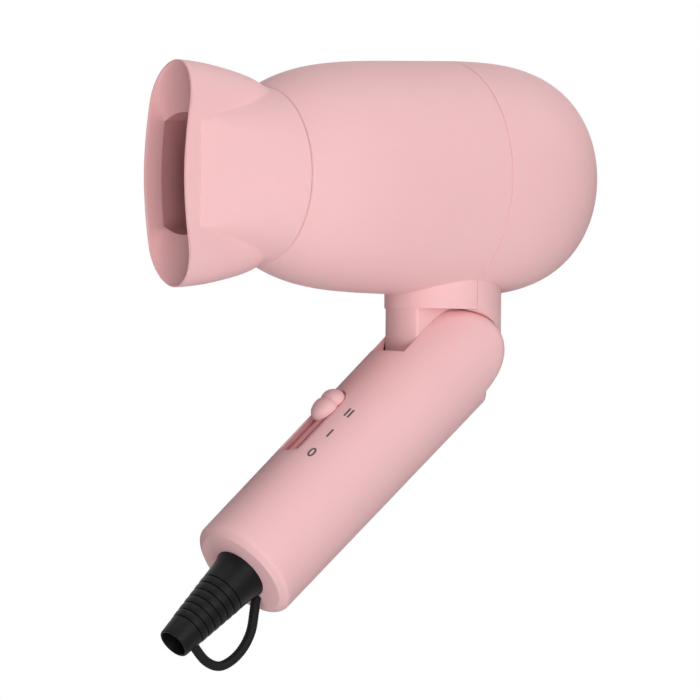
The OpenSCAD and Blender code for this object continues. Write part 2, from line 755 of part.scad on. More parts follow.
// Outline of the ribbed taper: distance s below the handle's end face
function relief_taper(s) = relief_base_r - 0.55 - (relief_base_r - 0.55 - relief_tip_r) * s / relief_len;
module strain_relief() color(black) {
    flange_t = 1.7;
    groove_from = 9.5;
    groove_pitch = 2.9;
    groove_w = 0.9;
    groove_depth = 0.75;
    flange_arc = [for (a = [0 : 30 : 90])
        [relief_base_r - 0.8 + 0.8 * cos(a), -flange_t + 0.8 - 0.8 * sin(a)]];
    grooves = [for (i = [0 : relief_grooves - 1]) let (s = groove_from + i * groove_pitch)
        each [[relief_taper(s), -s], [relief_taper(s) - groove_depth, -s - 0.15],
            [relief_taper(s) - groove_depth, -s - groove_w + 0.15], [relief_taper(s), -s - groove_w]]];
    tip_arc = [for (a = [0 : 30 : 90]) [relief_tip_r - 1 + cos(a), -relief_len + 1 - sin(a)]];
    inner_flange = 9;
    in_handle() grip_axis() translate([0, 0, -grip_len]) rotate_extrude()
        polygon(concat([[cord_hole_r, end_wall + 1.6], [inner_flange, end_wall + 1.6],
            [inner_flange, end_wall], [relief_hole_r - 0.05, end_wall], [relief_hole_r - 0.05, 0],
            [relief_base_r, 0]], flange_arc, [[relief_taper(flange_t), -flange_t]], grooves, tip_arc,
            [[cord_hole_r, -relief_len]]));
}
// The loop runs from the handle's end face round to the tip of the strain relief
loop_points = [for (p = [[loop_foot[0], -grip_len + 1.6], [loop_foot[0], -grip_len - 1.2], [14.2, -107.4],
    [18, -112], [20.1, -117.4], [20.3, -123], [18.4, -127.9], [13.6, -130.6], [6.6, -131]]) [p[0], 0, p[1]]];
module hanging_loop() color(black) { in_handle() sweep(smooth(loop_points, 3), loop_d / 2, 12); }

front_shell();
rear_cover();
inlet_grille();
inlet_filter();
outlet_grille();
nozzle();
nozzle_snap_ring();
mica_sleeve();
mica_board_upright();
mica_board_cross();
heating_coil();
heater_eyelets();
thermostat();
thermal_fuse();
fan_duct();
duct_screws();
motor_can();
motor_end_cap();
motor_magnets();
motor_rotor();
motor_shaft();
motor_terminals();
fan_impeller();
rectifier_board();
rectifier_diodes();
barrel_leads();
neck_screw();
hinge_bush_left();
hinge_bush_right();
detent_spring();
handle_shell();
slot_floor();
chassis();
switch_knob();
switch_slider();
switch_body();
switch_terminals();
suppression_capacitor();
handle_leads();
cord_clamp();
clamp_screws();
strain_relief();
hanging_loop();
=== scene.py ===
import json
import math
import bmesh
import bpy
from mathutils import Matrix, Vector


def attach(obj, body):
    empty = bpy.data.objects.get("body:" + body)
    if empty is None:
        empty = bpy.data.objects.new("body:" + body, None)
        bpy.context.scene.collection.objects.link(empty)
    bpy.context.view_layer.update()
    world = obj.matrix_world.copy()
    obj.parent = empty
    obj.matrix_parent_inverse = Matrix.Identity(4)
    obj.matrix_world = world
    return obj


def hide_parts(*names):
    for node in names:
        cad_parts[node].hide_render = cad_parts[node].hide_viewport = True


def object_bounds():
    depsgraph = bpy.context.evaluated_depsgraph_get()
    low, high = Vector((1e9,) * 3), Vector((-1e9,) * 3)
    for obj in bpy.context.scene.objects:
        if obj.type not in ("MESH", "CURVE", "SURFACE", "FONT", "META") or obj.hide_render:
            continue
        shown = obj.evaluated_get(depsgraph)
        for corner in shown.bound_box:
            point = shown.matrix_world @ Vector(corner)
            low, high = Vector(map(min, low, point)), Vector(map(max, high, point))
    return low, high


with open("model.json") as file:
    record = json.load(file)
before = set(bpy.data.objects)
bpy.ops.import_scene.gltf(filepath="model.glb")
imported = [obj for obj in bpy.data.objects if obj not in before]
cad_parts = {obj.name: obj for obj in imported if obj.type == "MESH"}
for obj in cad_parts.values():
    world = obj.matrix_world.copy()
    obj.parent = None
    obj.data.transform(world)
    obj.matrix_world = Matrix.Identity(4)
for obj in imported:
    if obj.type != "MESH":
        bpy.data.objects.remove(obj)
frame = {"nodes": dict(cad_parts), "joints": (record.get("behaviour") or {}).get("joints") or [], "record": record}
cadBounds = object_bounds()
nodes = frame["nodes"]
joints = {joint["name"]: joint for joint in frame["joints"]}
mm = 0.001
tau = 2 * math.pi
print("frame loaded:", len(nodes), "nodes")


def linear(hexColour):
    # sRGB hex to the linear values that Blender's sockets hold
    parts = [int(hexColour[i:i + 2], 16) / 255 for i in (1, 3, 5)]
    return [c / 12.92 if c <= 0.04045 else ((c + 0.055) / 1.055) ** 2.4 for c in parts] + [1.0]


def addNode(tree, kind, settings=(), **links):
    # links: a socket's name with _ for its spaces, or i and its number = a value or an output socket
    node = tree.nodes.new(kind)
    for key, value in dict(settings).items():
        setattr(node, key, value)
    for key, value in links.items():
        numbered = key[0] == "i" and key[1:].isdigit()
        socket = node.inputs[int(key[1:]) if numbered else key.replace("_", " ")]
        if isinstance(value, bpy.types.NodeSocket):
            tree.links.new(value, socket)
        else:
            socket.default_value = value
    return node


def circle(r, steps, cx=0.0, cy=0.0):
    turns = [tau * k / steps for k in range(steps)]
    return [(cx + r * math.cos(a), cy + r * math.sin(a)) for a in turns]


def arc(cx, cy, r, start, end, steps):
    # angles in degrees, with a point at either end
    turns = [math.radians(start + (end - start) * i / steps) for i in range(steps + 1)]
    return [(cx + r * math.cos(a), cy + r * math.sin(a)) for a in turns]


def softMin(a, b, k):
    # the smaller of two values, with the corner where they meet rounded over a width of k
    h = max(0.0, min(1.0, 0.5 + 0.5 * (b - a) / k))
    return b * (1 - h) + a * h - k * h * (1 - h)


def softMax(a, b, k):
    return -softMin(-a, -b, k)


def ringSkin(rings, closed=False):
    # quads between sections that have the same number of points; an open row of sections gets end caps
    n = len(rings[0])
    verts = [p for ring in rings for p in ring]
    faces = []
    for i in range(len(rings) if closed else len(rings) - 1):
        a, b = i * n, ((i + 1) % len(rings)) * n
        faces += [(a + k, a + (k + 1) % n, b + (k + 1) % n, b + k) for k in range(n)]
    if not closed:
        faces += [tuple(range(n)), tuple(range(len(verts) - n, len(verts)))]
    return verts, faces


def makeMesh(name, verts, faces):
    # a clean mesh from points in millimetres, with its normals outward
    mesh = bpy.data.meshes.new(name)
    mesh.from_pydata([Vector(v) * mm for v in verts], [], faces)
    form = bmesh.new()
    form.from_mesh(mesh)
    bmesh.ops.remove_doubles(form, verts=form.verts, dist=1e-7)
    bmesh.ops.dissolve_degenerate(form, dist=1e-8, edges=form.edges)
    bmesh.ops.recalc_face_normals(form, faces=form.faces)
    form.to_mesh(mesh)
    form.free()
    piece = bpy.data.objects.new(name, mesh)
    bpy.context.scene.collection.objects.link(piece)
    return piece


def aboutX(profile, steps, closed=True):
    # profile: (x, radius) points, turned round the X axis
    return ringSkin([[(x, y, z) for y, z in circle(r, steps)] for x, r in profile], closed)


def aboutZ(profile, steps, closed=True, centre=0.0):
    # profile: (z, radius) points, turned round a vertical line at x = centre
    return ringSkin([[(x, y, z) for x, y in circle(r, steps, centre)] for z, r in profile], closed)


def alongX(name, outline, x0, x1):
    # a (y, z) outline made into a block from x0 to x1
    return makeMesh(name, *ringSkin([[(x, y, z) for y, z in outline] for x in (x0, x1)]))


def acrossY(name, outline, end, start=None):
    # an (x, z) outline made into a plate as far as y = end, from its mirror place unless start is given
    first = -end if start is None else start
    return makeMesh(name, *ringSkin([[(x, y, z) for x, z in outline] for y in (first, end)]))


def boxSolid(name, low, high):
    ring = [(low[0], low[1]), (high[0], low[1]), (high[0], high[1]), (low[0], high[1])]
    return makeMesh(name, *ringSkin([[(x, y, z) for x, y in ring] for z in (low[2], high[2])]))


def settle(piece):
    # applies every modifier to the mesh
    bpy.context.view_layer.update()
    mesh = bpy.data.meshes.new_from_object(piece.evaluated_get(bpy.context.evaluated_depsgraph_get()))
    piece.modifiers.clear()
    piece.data = mesh


def carve(piece, tool, operation="DIFFERENCE"):
    step = piece.modifiers.new("carve", "BOOLEAN")
    step.operation = operation
    step.solver = "EXACT"
    step.object = tool
    settle(piece)
    bpy.data.objects.remove(tool)


def softenEdges(piece, width, angle=50):
    step = piece.modifiers.new("soften", "BEVEL")
    step.width = width * mm
    step.segments = 2
    step.limit_method = "ANGLE"
    step.angle_limit = math.radians(angle)
    step.use_clamp_overlap = True
    settle(piece)


def dress(piece, material, body, slotName, *stands, sharp=35):
    # smooth shading with sharp creases kept, then body, finish and the node it stands for
    mesh = piece.data
    mesh.polygons.foreach_set("use_smooth", [True] * len(mesh.polygons))
    form = bmesh.new()
    form.from_mesh(mesh)
    for edge in form.edges:
        edge.smooth = len(edge.link_faces) == 2 and edge.calc_face_angle(0) < math.radians(sharp)
    form.to_mesh(mesh)
    form.free()
    mesh.materials.clear()
    mesh.materials.append(material)
    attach(piece, body)
    if stands:
        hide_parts(*stands)


# finishes: sizes in mm; the bleed is how far and in what colour light runs inside the plastic
finish = {"cloud": 18, "plasticSpread": 0.03, "metalSpread": 0.06, "metalDepth": 0.003, "metalShade": 0.86,
          "bleedReach": 0.6, "bleedColour": (1.0, 0.42, 0.4)}


def plainMaterial(name):
    material = bpy.data.materials.new(name)
    material.use_nodes = True
    tree = material.node_tree
    return material, tree, tree.nodes["Principled BSDF"]


def grainOn(tree, surface, height, depth, roughness, spread):
    # the grain's height stands up from the surface and makes the gloss uneven
    gloss = addNode(tree, "ShaderNodeMapRange", Value=height, From_Min=0.3, From_Max=0.7,
                    To_Min=roughness - spread, To_Max=roughness + spread)
    tree.links.new(gloss.outputs["Result"], surface.inputs["Roughness"])
    bump = addNode(tree, "ShaderNodeBump", Height=height, Distance=depth * mm, Strength=1.0)
    tree.links.new(bump.outputs["Normal"], surface.inputs["Normal"])


def mouldedPlastic(name, colour, roughness, grain=0.35, depth=0.004, mottle=0.02, spec=0.5, bleed=0.0):
    # even colour, a fine spark-eroded grain (grain and depth in mm) and a slightly uneven gloss
    material, tree, surface = plainMaterial(name)
    place = addNode(tree, "ShaderNodeTexCoord").outputs["Object"]
    clouds = addNode(tree, "ShaderNodeTexNoise", Vector=place, Scale=1 / (finish["cloud"] * mm), Detail=3.0,
                     Roughness=0.5)
    sparks = addNode(tree, "ShaderNodeTexNoise", Vector=place, Scale=1 / (grain * mm), Detail=2.0,
                     Roughness=0.6)
    base = linear(colour)[:3]
    tint = addNode(tree, "ShaderNodeMix", {"data_type": "RGBA"}, i0=clouds.outputs["Fac"],
                   i6=[c * (1 - mottle) for c in base] + [1],
                   i7=[min(1, c * (1 + mottle)) for c in base] + [1])
    tree.links.new(tint.outputs[2], surface.inputs["Base Color"])
    grainOn(tree, surface, sparks.outputs["Fac"], depth, roughness, finish["plasticSpread"])
    surface.inputs["Specular IOR Level"].default_value = spec
    # light that sinks a little way into the plastic reddens its creases
    surface.inputs["Subsurface Weight"].default_value = bleed
    surface.inputs["Subsurface Radius"].default_value = finish["bleedColour"]
    surface.inputs["Subsurface Scale"].default_value = finish["bleedReach"] * mm
    return material


def worked(name, colour, roughness, metallic, line=0.25, finer=(1, 1, 1), colour2=None):
    # metal or mineral with a drawn, rolled or sintered grain: line in mm, finer along each axis by a factor
    material, tree, surface = plainMaterial(name)
    place = addNode(tree, "ShaderNodeTexCoord").outputs["Object"]
    drawn = addNode(tree, "ShaderNodeMapping", Vector=place, Scale=finer)
    lines = addNode(tree, "ShaderNodeTexNoise", Vector=drawn.outputs["Vector"], Scale=1 / (line * mm),
                    Detail=3.0)
    base = linear(colour)
    other = linear(colour2) if colour2 else [c * finish["metalShade"] for c in base[:3]] + [1]
    tint = addNode(tree, "ShaderNodeMix", {"data_type": "RGBA"}, i0=lines.outputs["Fac"], i6=other, i7=base)
    tree.links.new(tint.outputs[2], surface.inputs["Base Color"])
    grainOn(tree, surface, lines.outputs["Fac"], finish["metalDepth"], roughness, finish["metalSpread"])
    surface.inputs["Metallic"].default_value = metallic
    return material


# satin ABS: an even pale colour under a very fine matt grain, with a wide soft sheen
satinAbs = mouldedPlastic("satinAbsPink", "#EDBFC1", 0.62, spec=0.14, bleed=0.3)
# the nozzle's bowl and lip: rougher than the outside, and a deeper pink that is painted shade inside the hollow
innerShadeAbs = mouldedPlastic("paintedShadePink", "#E1ABAD", 0.66, spec=0.12)
# the duct behind the mouth: the same rough finish in a still deeper pink, painted shade so that it reads as a dark
# hollow
ductShadeAbs = mouldedPlastic("paintedShadeRose", "#CF9295", 0.7, spec=0.1)
# the thumb slide: the same ABS from a smoother mould, so a little glossier
slideAbs = mouldedPlastic("satinAbsPinkSlide", "#EDBFC1", 0.58, spec=0.16, bleed=0.3)
# the slide's track: the same plastic in a deeper pink, painted shade so the recess reads as a warm shadow
trackShadeAbs = mouldedPlastic("satinAbsPinkTrackShade", "#F2ADAF", 0.6, spec=0.14, bleed=0.3)
# its grooves: a deeper rose, painted shade so they read as dark lines
grooveShadeAbs = mouldedPlastic("paintedShadeGrooveRose", "#CE8387", 0.55, spec=0.14)
# glass-filled nylon: matt black with a slightly rough skin
blackNylon = mouldedPlastic("blackNylon", "#1E1E20", 0.5, depth=0.008, mottle=0.08)
# unpainted polypropylene: flat mid grey, faintly clouded
greyPolypropylene = mouldedPlastic("greyPolypropylene", "#5B5B5E", 0.5, mottle=0.04)
# natural nylon: uncoloured, so a warm off-white with some gloss
creamNylon = mouldedPlastic("creamNylon", "#E6E1D5", 0.42)
# flexible PVC: black with a waxy sheen that is cloudy where it was drawn out of the mould
flexPvc = mouldedPlastic("flexiblePvcBlack", "#0E0E0F", 0.4, grain=0.5, depth=0.01, mottle=0.12, spec=0.12)
# the loop is drawn cord, duller and a shade lighter than the moulded sleeve
cordPvc = mouldedPlastic("flexiblePvcCord", "#1D1D1E", 0.45, grain=0.5, depth=0.01, mottle=0.12, spec=0.08)
# braided glass sleeving: off-white and dull, with the braid as a coarse grain
sleeving = mouldedPlastic("glassSleeving", "#D8D8D8", 0.6, grain=0.4, depth=0.02)
# mica pressed from flakes: tan, with flakes of a darker tan and a silky shine
micaSheet = worked("pressedMica", "#D2C4A8", 0.35, 0.0, line=1.5, colour2="#B9A680")
# zinc plating: cool light grey, slightly mottled
zincSteel = worked("zincPlatedSteel", "#B4B7BB", 0.34, 1.0, line=0.4)
# spring strip: bright, with close lines from the rolls
springSteel = worked("springSteel", "#A7A9AC", 0.3, 1.0, line=0.2, finer=(1, 8, 1))
# woven stainless wire: a dull steel grey
stainlessMesh = worked("stainlessMesh", "#9C9EA2", 0.38, 1.0, line=0.3)
# nickel-chrome wire: browned in patches by the first firing
heatingWire = worked("oxidisedHeatingWire", "#8C7B6B", 0.5, 1.0, line=0.5, colour2="#5E5048")
# stamped brass: yellow, smooth from the die
stampedBrass = worked("stampedBrass", "#C9A24B", 0.3, 1.0, line=0.3)
# sintered ferrite: near black and dull, with a sandy grain
ferrite = worked("sinteredFerrite", "#3A3A3C", 0.6, 0.0, line=0.15)
# enamelled wire: red-brown and glossy, with the turns as fine lines
copperWinding = worked("lacqueredCopper", "#A2552B", 0.32, 1.0, line=0.35, finer=(1, 6, 6))
# laminate: dull green with a faint weave under the resin
boardLaminate = mouldedPlastic("boardLaminate", "#7FA36B", 0.45, grain=0.6, mottle=0.06)
# potted film capacitor: a smooth yellow box
filmCase = mouldedPlastic("filmCapacitorCase", "#E2C45A", 0.35)
# pad-printed ink: dull dark grey, a little uneven where it sits on the plastic's grain
printInk = mouldedPlastic("padPrintInk", "#504C4D", 0.6, grain=0.12, mottle=0.1)
bySlot = {
    "shell_plastic": satinAbs, "slide_plastic": slideAbs, "floor_plastic": blackNylon,
    "black_plastic": blackNylon, "grey_plastic": greyPolypropylene, "cream_plastic": creamNylon,
    "soft_black": flexPvc, "lead_insulation": sleeving, "mica": micaSheet, "steel": zincSteel,
    "spring_steel": springSteel, "filter_mesh": stainlessMesh, "resistance_wire": heatingWire,
    "brass": stampedBrass, "magnet": ferrite, "winding": copperWinding, "board": boardLaminate,
    "film_box": filmCase,
}
for part in frame["record"]["subparts"]:
    held = nodes[part["node"]].data.materials
    held.clear()
    held.append(bySlot[part["material_slot"]])
print("materials made")

# the barrel: two shells turned about X, and the neck that hangs below them
barrel = {
    "radius": 37.5, "outlet": 28.15, "seamX": 71.1, "rearLength": 47.3, "taper": 0.9, "flarePower": 5.3,
    "wall": 2.0, "edge": 0.12, "steps": 240, "stations": 60,
    "seamGap": 0.4, "seamDepth": 0.3, "seamLip": 1.4, "seamRoom": 1,
    # the outlet's rounded edge: (x, how far inside the outlet's radius)
    "outletRound": 0.35, "outletEdge": ((0, 0.35), (0.05, 0.15), (0.15, 0)),
    "collarOut": 21.4, "collarIn": 20.0, "collarLength": 8.5, "collarEdge": 0.4,
    # the grille's opening: (how far in front of its lip, how far inside its radius)
    "grilleRadius": 26.0, "openingEdge": ((0.02, 0.3), (0.02, 1.4), (0.25, 1.6)), "openingEnd": 104,
    "innerEnd": 103,
}
neck = {
    "x": 70.8, "radius": 18.67, "shelf": -41.7, "shelfEdge": ((0.25, 0), (0.08, 0.08), (0, 0.25)),
    "tongueInset": 0.25, "tongueHalf": 8.85, "corner": 0.9, "endRadius": 16.6, "aboveHinge": 0.25,
    "shrink": (0.01, 0.4, 0.75, 1.0), "sink": 1.0, "coreEnd": 75, "earRoom": 15.38, "skirtEdge": 0.15,
    "tongueLevels": (-52, -80), "rearLevels": (-50, -60, -80), "steps": 360,
}
hinge = [c / mm for c in joints["handle_fold"]["pos_m"]]
# cutters are larger than what they cut: (y, z) round barrel and neck, x behind them and y beside them
aroundBarrel = [(-60, -120), (60, -120), (60, 60), (-60, 60)]
behindBarrel = 140
besideBarrel = 40


def frontRadius(x, inset=0.0):
    t = 1 - x / barrel["seamX"]
    flare = barrel["radius"] - barrel["outlet"] - barrel["taper"]
    return barrel["radius"] - inset - barrel["taper"] * t - flare * max(0, t) ** barrel["flarePower"]


def rearRadius(u, inset=0.0):
    # u: mm behind the seam
    return (barrel["radius"] - inset) * max(0, 1 - (u / (barrel["rearLength"] - inset)) ** 3) ** (1 / 3)


def rearX(r):
    return barrel["seamX"] + barrel["rearLength"] * (1 - (r / barrel["radius"]) ** 3) ** (1 / 3)


def barrelSurface(x):
    return frontRadius(x) if x <= barrel["seamX"] else rearRadius(x - barrel["seamX"])


frontEnd = barrel["seamX"] - barrel["seamGap"] / 2
rearStart = barrel["seamX"] + barrel["seamGap"] / 2
lipX = rearX(barrel["grilleRadius"])


def frontProfile():
    # out along the skin from the outlet, back along the inside and round the outlet's collar
    count, wall, edge = barrel["stations"], barrel["wall"], barrel["edge"]
    start = barrel["outletRound"]
    stations = [start + (frontEnd - start - edge) * (1 - math.cos(math.pi / 2 * i / count))
                for i in range(count + 1)]
    outer = [(x, barrel["outlet"] - inside) for x, inside in barrel["outletEdge"]]
    outer += [(x, frontRadius(x)) for x in stations]
    outer += [(frontEnd, frontRadius(frontEnd) - edge), (frontEnd, frontRadius(frontEnd) - wall)]
    inner = [(x, frontRadius(x, wall)) for x in reversed(stations)
             if wall < x < frontEnd - barrel["seamRoom"]]
    tip = -barrel["collarLength"]
    return outer + inner + [(wall, barrel["collarIn"]), (tip, barrel["collarIn"]),
                            (tip, barrel["collarOut"] - barrel["collarEdge"]),
                            (tip + barrel["collarEdge"], barrel["collarOut"]), (0, barrel["collarOut"])]


def rearProfile():
    # the sunk lip behind the seam, the dome, the grille's opening and back along the inside
    count, edge = barrel["stations"], barrel["edge"]
    span = lipX - barrel["seamX"]
    behind = [span * math.sin(math.pi / 2 * i / count) for i in range(count + 1)]
    behind = [u for u in behind if u > barrel["seamGap"] / 2 + edge]
    lip = barrel["radius"] - barrel["seamDepth"]
    profile = [(frontEnd, lip), (rearStart, lip), (rearStart, rearRadius(barrel["seamGap"] / 2) - edge),
               (rearStart + edge, rearRadius(barrel["seamGap"] / 2 + edge))]
    profile += [(barrel["seamX"] + u, rearRadius(u)) for u in behind]
    profile += [(lipX - ahead, barrel["grilleRadius"] - inside) for ahead, inside in barrel["openingEdge"]]
    profile.append((barrel["openingEnd"], profile[-1][1]))
    profile += [(barrel["seamX"] + u, rearRadius(u, barrel["wall"])) for u in reversed(behind)
                if barrel["seamX"] + u < barrel["innerEnd"]]
    return profile + [(frontEnd, lip - barrel["seamLip"])]


def neckRing(z, r, half=None):
    # a round section, or a round one with two flat cheeks and soft corners
    ring = []
    for x, y in circle(r, neck["steps"]):
        if half is not None:
            y = math.copysign(softMin(abs(y), half, neck["corner"]), y)
        ring.append((neck["x"] + x, y, z))
    return ring


def neckHug(r):
    # rings that sink a little into the barrel, from the neck's middle outward
    return [[(x, y, -math.sqrt((barrelSurface(x) - neck["sink"]) ** 2 - y * y))
             for x, y in circle(r * shrink, neck["steps"], neck["x"])] for shrink in neck["shrink"]]


def neckSolid(name, inset):
    # round down to the shelf, then the tongue, which is cut to its outline later
    r = neck["radius"] - inset
    shelf = neck["shelf"] + inset
    rings = neckHug(r) + [neckRing(shelf + up, r - inside) for up, inside in neck["shelfEdge"]]
    rings += [neckRing(z, r - neck["tongueInset"], neck["tongueHalf"] - inset)
              for z in (shelf,) + neck["tongueLevels"]]
    return makeMesh(name, *ringSkin(rings))


def tongueOutline(inset):
    # the tongue seen from the side: straight down to the hinge's level, then round about the hinge
    top, right, left = -10.0, 120.0, 30.0
    level = hinge[2] + neck["aboveHinge"] + inset
    r = neck["endRadius"] - inset
    reach = math.sqrt(r * r - neck["aboveHinge"] ** 2)
    outline = [(left, top), (right, top), (right, level), (hinge[0] + reach, level)]
    outline += arc(hinge[0], hinge[2], r, -3, -177, 58)
    return outline + [(hinge[0] - reach, level), (left, level)]


def cutTongue(part, inset, x0, x1):
    # keeps what lies inside the tongue's outline and between x0 and x1
    carve(part, acrossY("tongueEnd", tongueOutline(inset), besideBarrel), "INTERSECT")
    carve(part, alongX("half", aroundBarrel, x0, x1), "INTERSECT")
    return part


def neckSkirt():
    # the rear half: full width down to the hinge's level, with room for the handle's two ears
    level = hinge[2] + neck["aboveHinge"]
    skirt = makeMesh("neckSkirt", *ringSkin(neckHug(neck["radius"]) + [neckRing(level, neck["radius"])]))
    carve(skirt, alongX("half", aroundBarrel, rearStart, behindBarrel), "INTERSECT")
    for side in (-1, 1):
        ear = circle(neck["earRoom"], 180, hinge[0], hinge[2])
        carve(skirt, acrossY("earRoom", ear, side * besideBarrel, side * neck["tongueHalf"]))
    softenEdges(skirt, neck["skirtEdge"])
    return skirt


def rearTongue():
    # the part of the tongue below the hinge's level
    rings = [neckRing(z, neck["radius"] - neck["tongueInset"], neck["tongueHalf"])
             for z in neck["rearLevels"]]
    return cutTongue(makeMesh("rearTongue", *ringSkin(rings)), 0.0, rearStart, behindBarrel)


frontShell = makeMesh("frontShell", *aboutX(frontProfile(), barrel["steps"]))
carve(frontShell, cutTongue(neckSolid("neckFront", 0.0), 0.0, 0, frontEnd), "UNION")
dress(frontShell, satinAbs, "barrel", "shell_plastic", "front_shell")
rearCover = makeMesh("rearCover", *aboutX(rearProfile(), barrel["steps"]))
carve(rearCover, neckSkirt(), "UNION")
carve(rearCover, rearTongue(), "UNION")
neckCore = neckSolid("neckCore", barrel["seamDepth"])
carve(rearCover, cutTongue(neckCore, barrel["seamDepth"], frontEnd, neck["coreEnd"]), "UNION")
dress(rearCover, satinAbs, "barrel", "shell_plastic", "rear_cover")
print("barrel made")

# the rear grille: a dome cut by rings, with spokes left between the cuts
grille = {"slots": (5.6, 9.3, 13.0, 16.7, 20.4), "slotWidth": 2.2, "spokes": 8, "spokeWidth": 1.8,
          "edge": 0.25, "gap": 0.25, "rimEdge": 0.1, "plugGap": 1.8, "wall": 1.6, "thick": 2, "plugEnd": 107,
          "cutFrom": 106, "cutTo": 121, "barFrom": 100, "barTo": 125, "barReach": 30}


def grilleDome():
    rim = barrel["grilleRadius"] - grille["gap"]
    plug = barrel["grilleRadius"] - grille["plugGap"]
    bore = plug - grille["wall"]
    foot = grille["plugEnd"]
    outer = [(rearX(r), r) for r in [rim * math.sin(math.pi / 2 * i / 40) for i in range(41)]]
    inner = [(rearX(r) - grille["thick"], r) for r in [bore * (30 - i) / 30 for i in range(31)]]
    return outer + [(lipX, rim - grille["rimEdge"]), (lipX, plug), (foot, plug), (foot, bore)] + inner


def slotCutter(r):
    # a ring with gaps where the spokes stay
    half, w, reach = grille["slotWidth"] / 2, grille["spokeWidth"] / 2, grille["barReach"]
    start, end = grille["cutFrom"], grille["cutTo"]
    cutter = makeMesh("slotRing", *aboutX([(start, r - half), (end, r - half), (end, r + half),
                                           (start, r + half)], 120))
    for i in range(grille["spokes"] // 2):
        a = math.pi * i / (grille["spokes"] // 2)
        bar = [(math.cos(a) * s - math.sin(a) * t, math.sin(a) * s + math.cos(a) * t)
               for s, t in ((-reach, -w), (reach, -w), (reach, w), (-reach, w))]
        carve(cutter, alongX("spoke", bar, grille["barFrom"], grille["barTo"]))
    return cutter


dome = makeMesh("inletGrille", *aboutX(grilleDome(), 180, closed=False))
for slotRadius in grille["slots"]:
    carve(dome, slotCutter(slotRadius))
softenEdges(dome, grille["edge"])
dress(dome, satinAbs, "barrel", "shell_plastic", "inlet_grille")
print("grille made")

# the nozzle: a flat bell grown out of a rounded block, with a bowl, a window and a duct inside
nozzle = {
    "gap": 0.2, "length": 37.8, "bow": 4.3, "bowPower": 1.8, "thick": 11.6, "capHeight": 14.2, "rim": 0.9,
    # the bell's half height: (mm in front of the outlet, half height)
    "heights": ((0.35, 28.0), (5.7, 30.75), (10.4, 32.3), (15.1, 33.5), (19.7, 34.5), (24.4, 35.3),
                (31.2, 36.05), (38.8, 36.3)),
    # the rear edge: (mm in front of the gap, how far inside the outlet's radius)
    "rearEdge": ((0, 0.3), (0.08, 0.1)), "skinStart": 0.25,
    "blockStart": 31.2, "blockHalf": 12.4, "blockRadius": 21.0, "bevel": 1.9, "bevelSlope": 0.2,
    "fadeSlope": 1.6, "softCrease": 1.1, "crispCrease": 0.22, "creaseStart": 6,
    "windowRadius": 19.5, "windowHalf": 10.4, "windowX": 31.6, "windowBow": 1.5, "bowlPower": 1.25,
    "ledge": 0.25, "step": 0.4, "ductPower": 3, "boreRadius": 21.5, "boreX": 9.2, "steps": 320,
}


def bellHeight(x):
    # a smooth curve through the heights
    table = nozzle["heights"]
    last = len(table) - 1
    i = max(1, min(last - 1, sum(1 for px, _ in table if px < x) - 1)) if x > table[1][0] else 0
    (x0, h0), (x1, h1) = table[i], table[i + 1]
    slope = []
    for j in (i, i + 1):
        (xa, ha), (xb, hb) = table[max(j - 1, 0)], table[min(j + 1, last)]
        slope.append((hb - ha) / (xb - xa))
    d = x1 - x0
    t = (x - x0) / d
    return ((2 * t ** 3 - 3 * t * t + 1) * h0 + (t ** 3 - 2 * t * t + t) * d * slope[0]
            + (3 * t * t - 2 * t ** 3) * h1 + (t ** 3 - t * t) * d * slope[1])


def cappedReach(c, s, thick, height, cap):
    # distance to an outline with straight sides and half-ellipse ends; c, s: direction
    c, s = abs(c), abs(s)
    middle = height - cap
    if c > 1e-6 and thick / c * s <= middle:
        return thick / c
    a = (c / thick) ** 2 + (s / cap) ** 2
    b = -2 * middle * s / cap ** 2
    return (-b + math.sqrt(b * b - 4 * a * ((middle / cap) ** 2 - 1))) / (2 * a)


def clippedReach(c, s, r, half, grow):
    # distance to a circle with flat cheeks, the whole outline pushed outward by grow
    c, s = abs(c), abs(s)
    cx, cz = half, math.sqrt(max(0.0, r * r - half * half))
    if c > 1e-6 and (half + grow) / c * s <= cz:
        return (half + grow) / c
    if math.atan2(s, c) >= math.atan2(cz, cx):
        return r + grow
    along = c * cx + s * cz
    return along + math.sqrt(max(0.0, grow * grow - r * r + along * along))


def nozzleReach(x, c, s):
    # the outside's distance from the axis, x mm in front of the outlet face
    bell = cappedReach(c, s, nozzle["thick"], bellHeight(x), nozzle["capHeight"])
    span = nozzle["blockStart"] - nozzle["gap"]
    t = 1 - (x - nozzle["gap"]) / span
    fade = max(0.0, -t) * span
    t = max(0.0, min(1.0, t))
    block = clippedReach(c, s, nozzle["blockRadius"] * (1 - t), nozzle["blockHalf"] * (1 - t),
                         barrel["outlet"] * t)
    fall = nozzle["bevelSlope"] * max(0.0, x - nozzle["blockStart"] + nozzle["bevel"])
    fall += nozzle["fadeSlope"] * fade
    crease = nozzle["crispCrease"] + (nozzle["softCrease"] - nozzle["crispCrease"]) * t
    return softMax(bell, block - fall, crease * min(1.0, x / nozzle["creaseStart"]) + 0.02)


def mouthX(z):
    # the mouth's edge bows back towards its two ends
    reach = min(1.0, abs(z) / nozzle["heights"][-1][1])
    return nozzle["length"] - nozzle["bow"] * reach ** nozzle["bowPower"]


def windowEdge(z):
    # the crisp edge between bowl and duct, bowed like the mouth
    return nozzle["windowX"] - nozzle["windowBow"] * (z / nozzle["windowRadius"]) ** 2


def bowlReach(c, s):
    # the inner edge of the mouth's lip
    return cappedReach(c, s, nozzle["thick"] - nozzle["rim"], nozzle["heights"][-1][1] - nozzle["rim"],
                       nozzle["capHeight"] - nozzle["rim"] / 2)


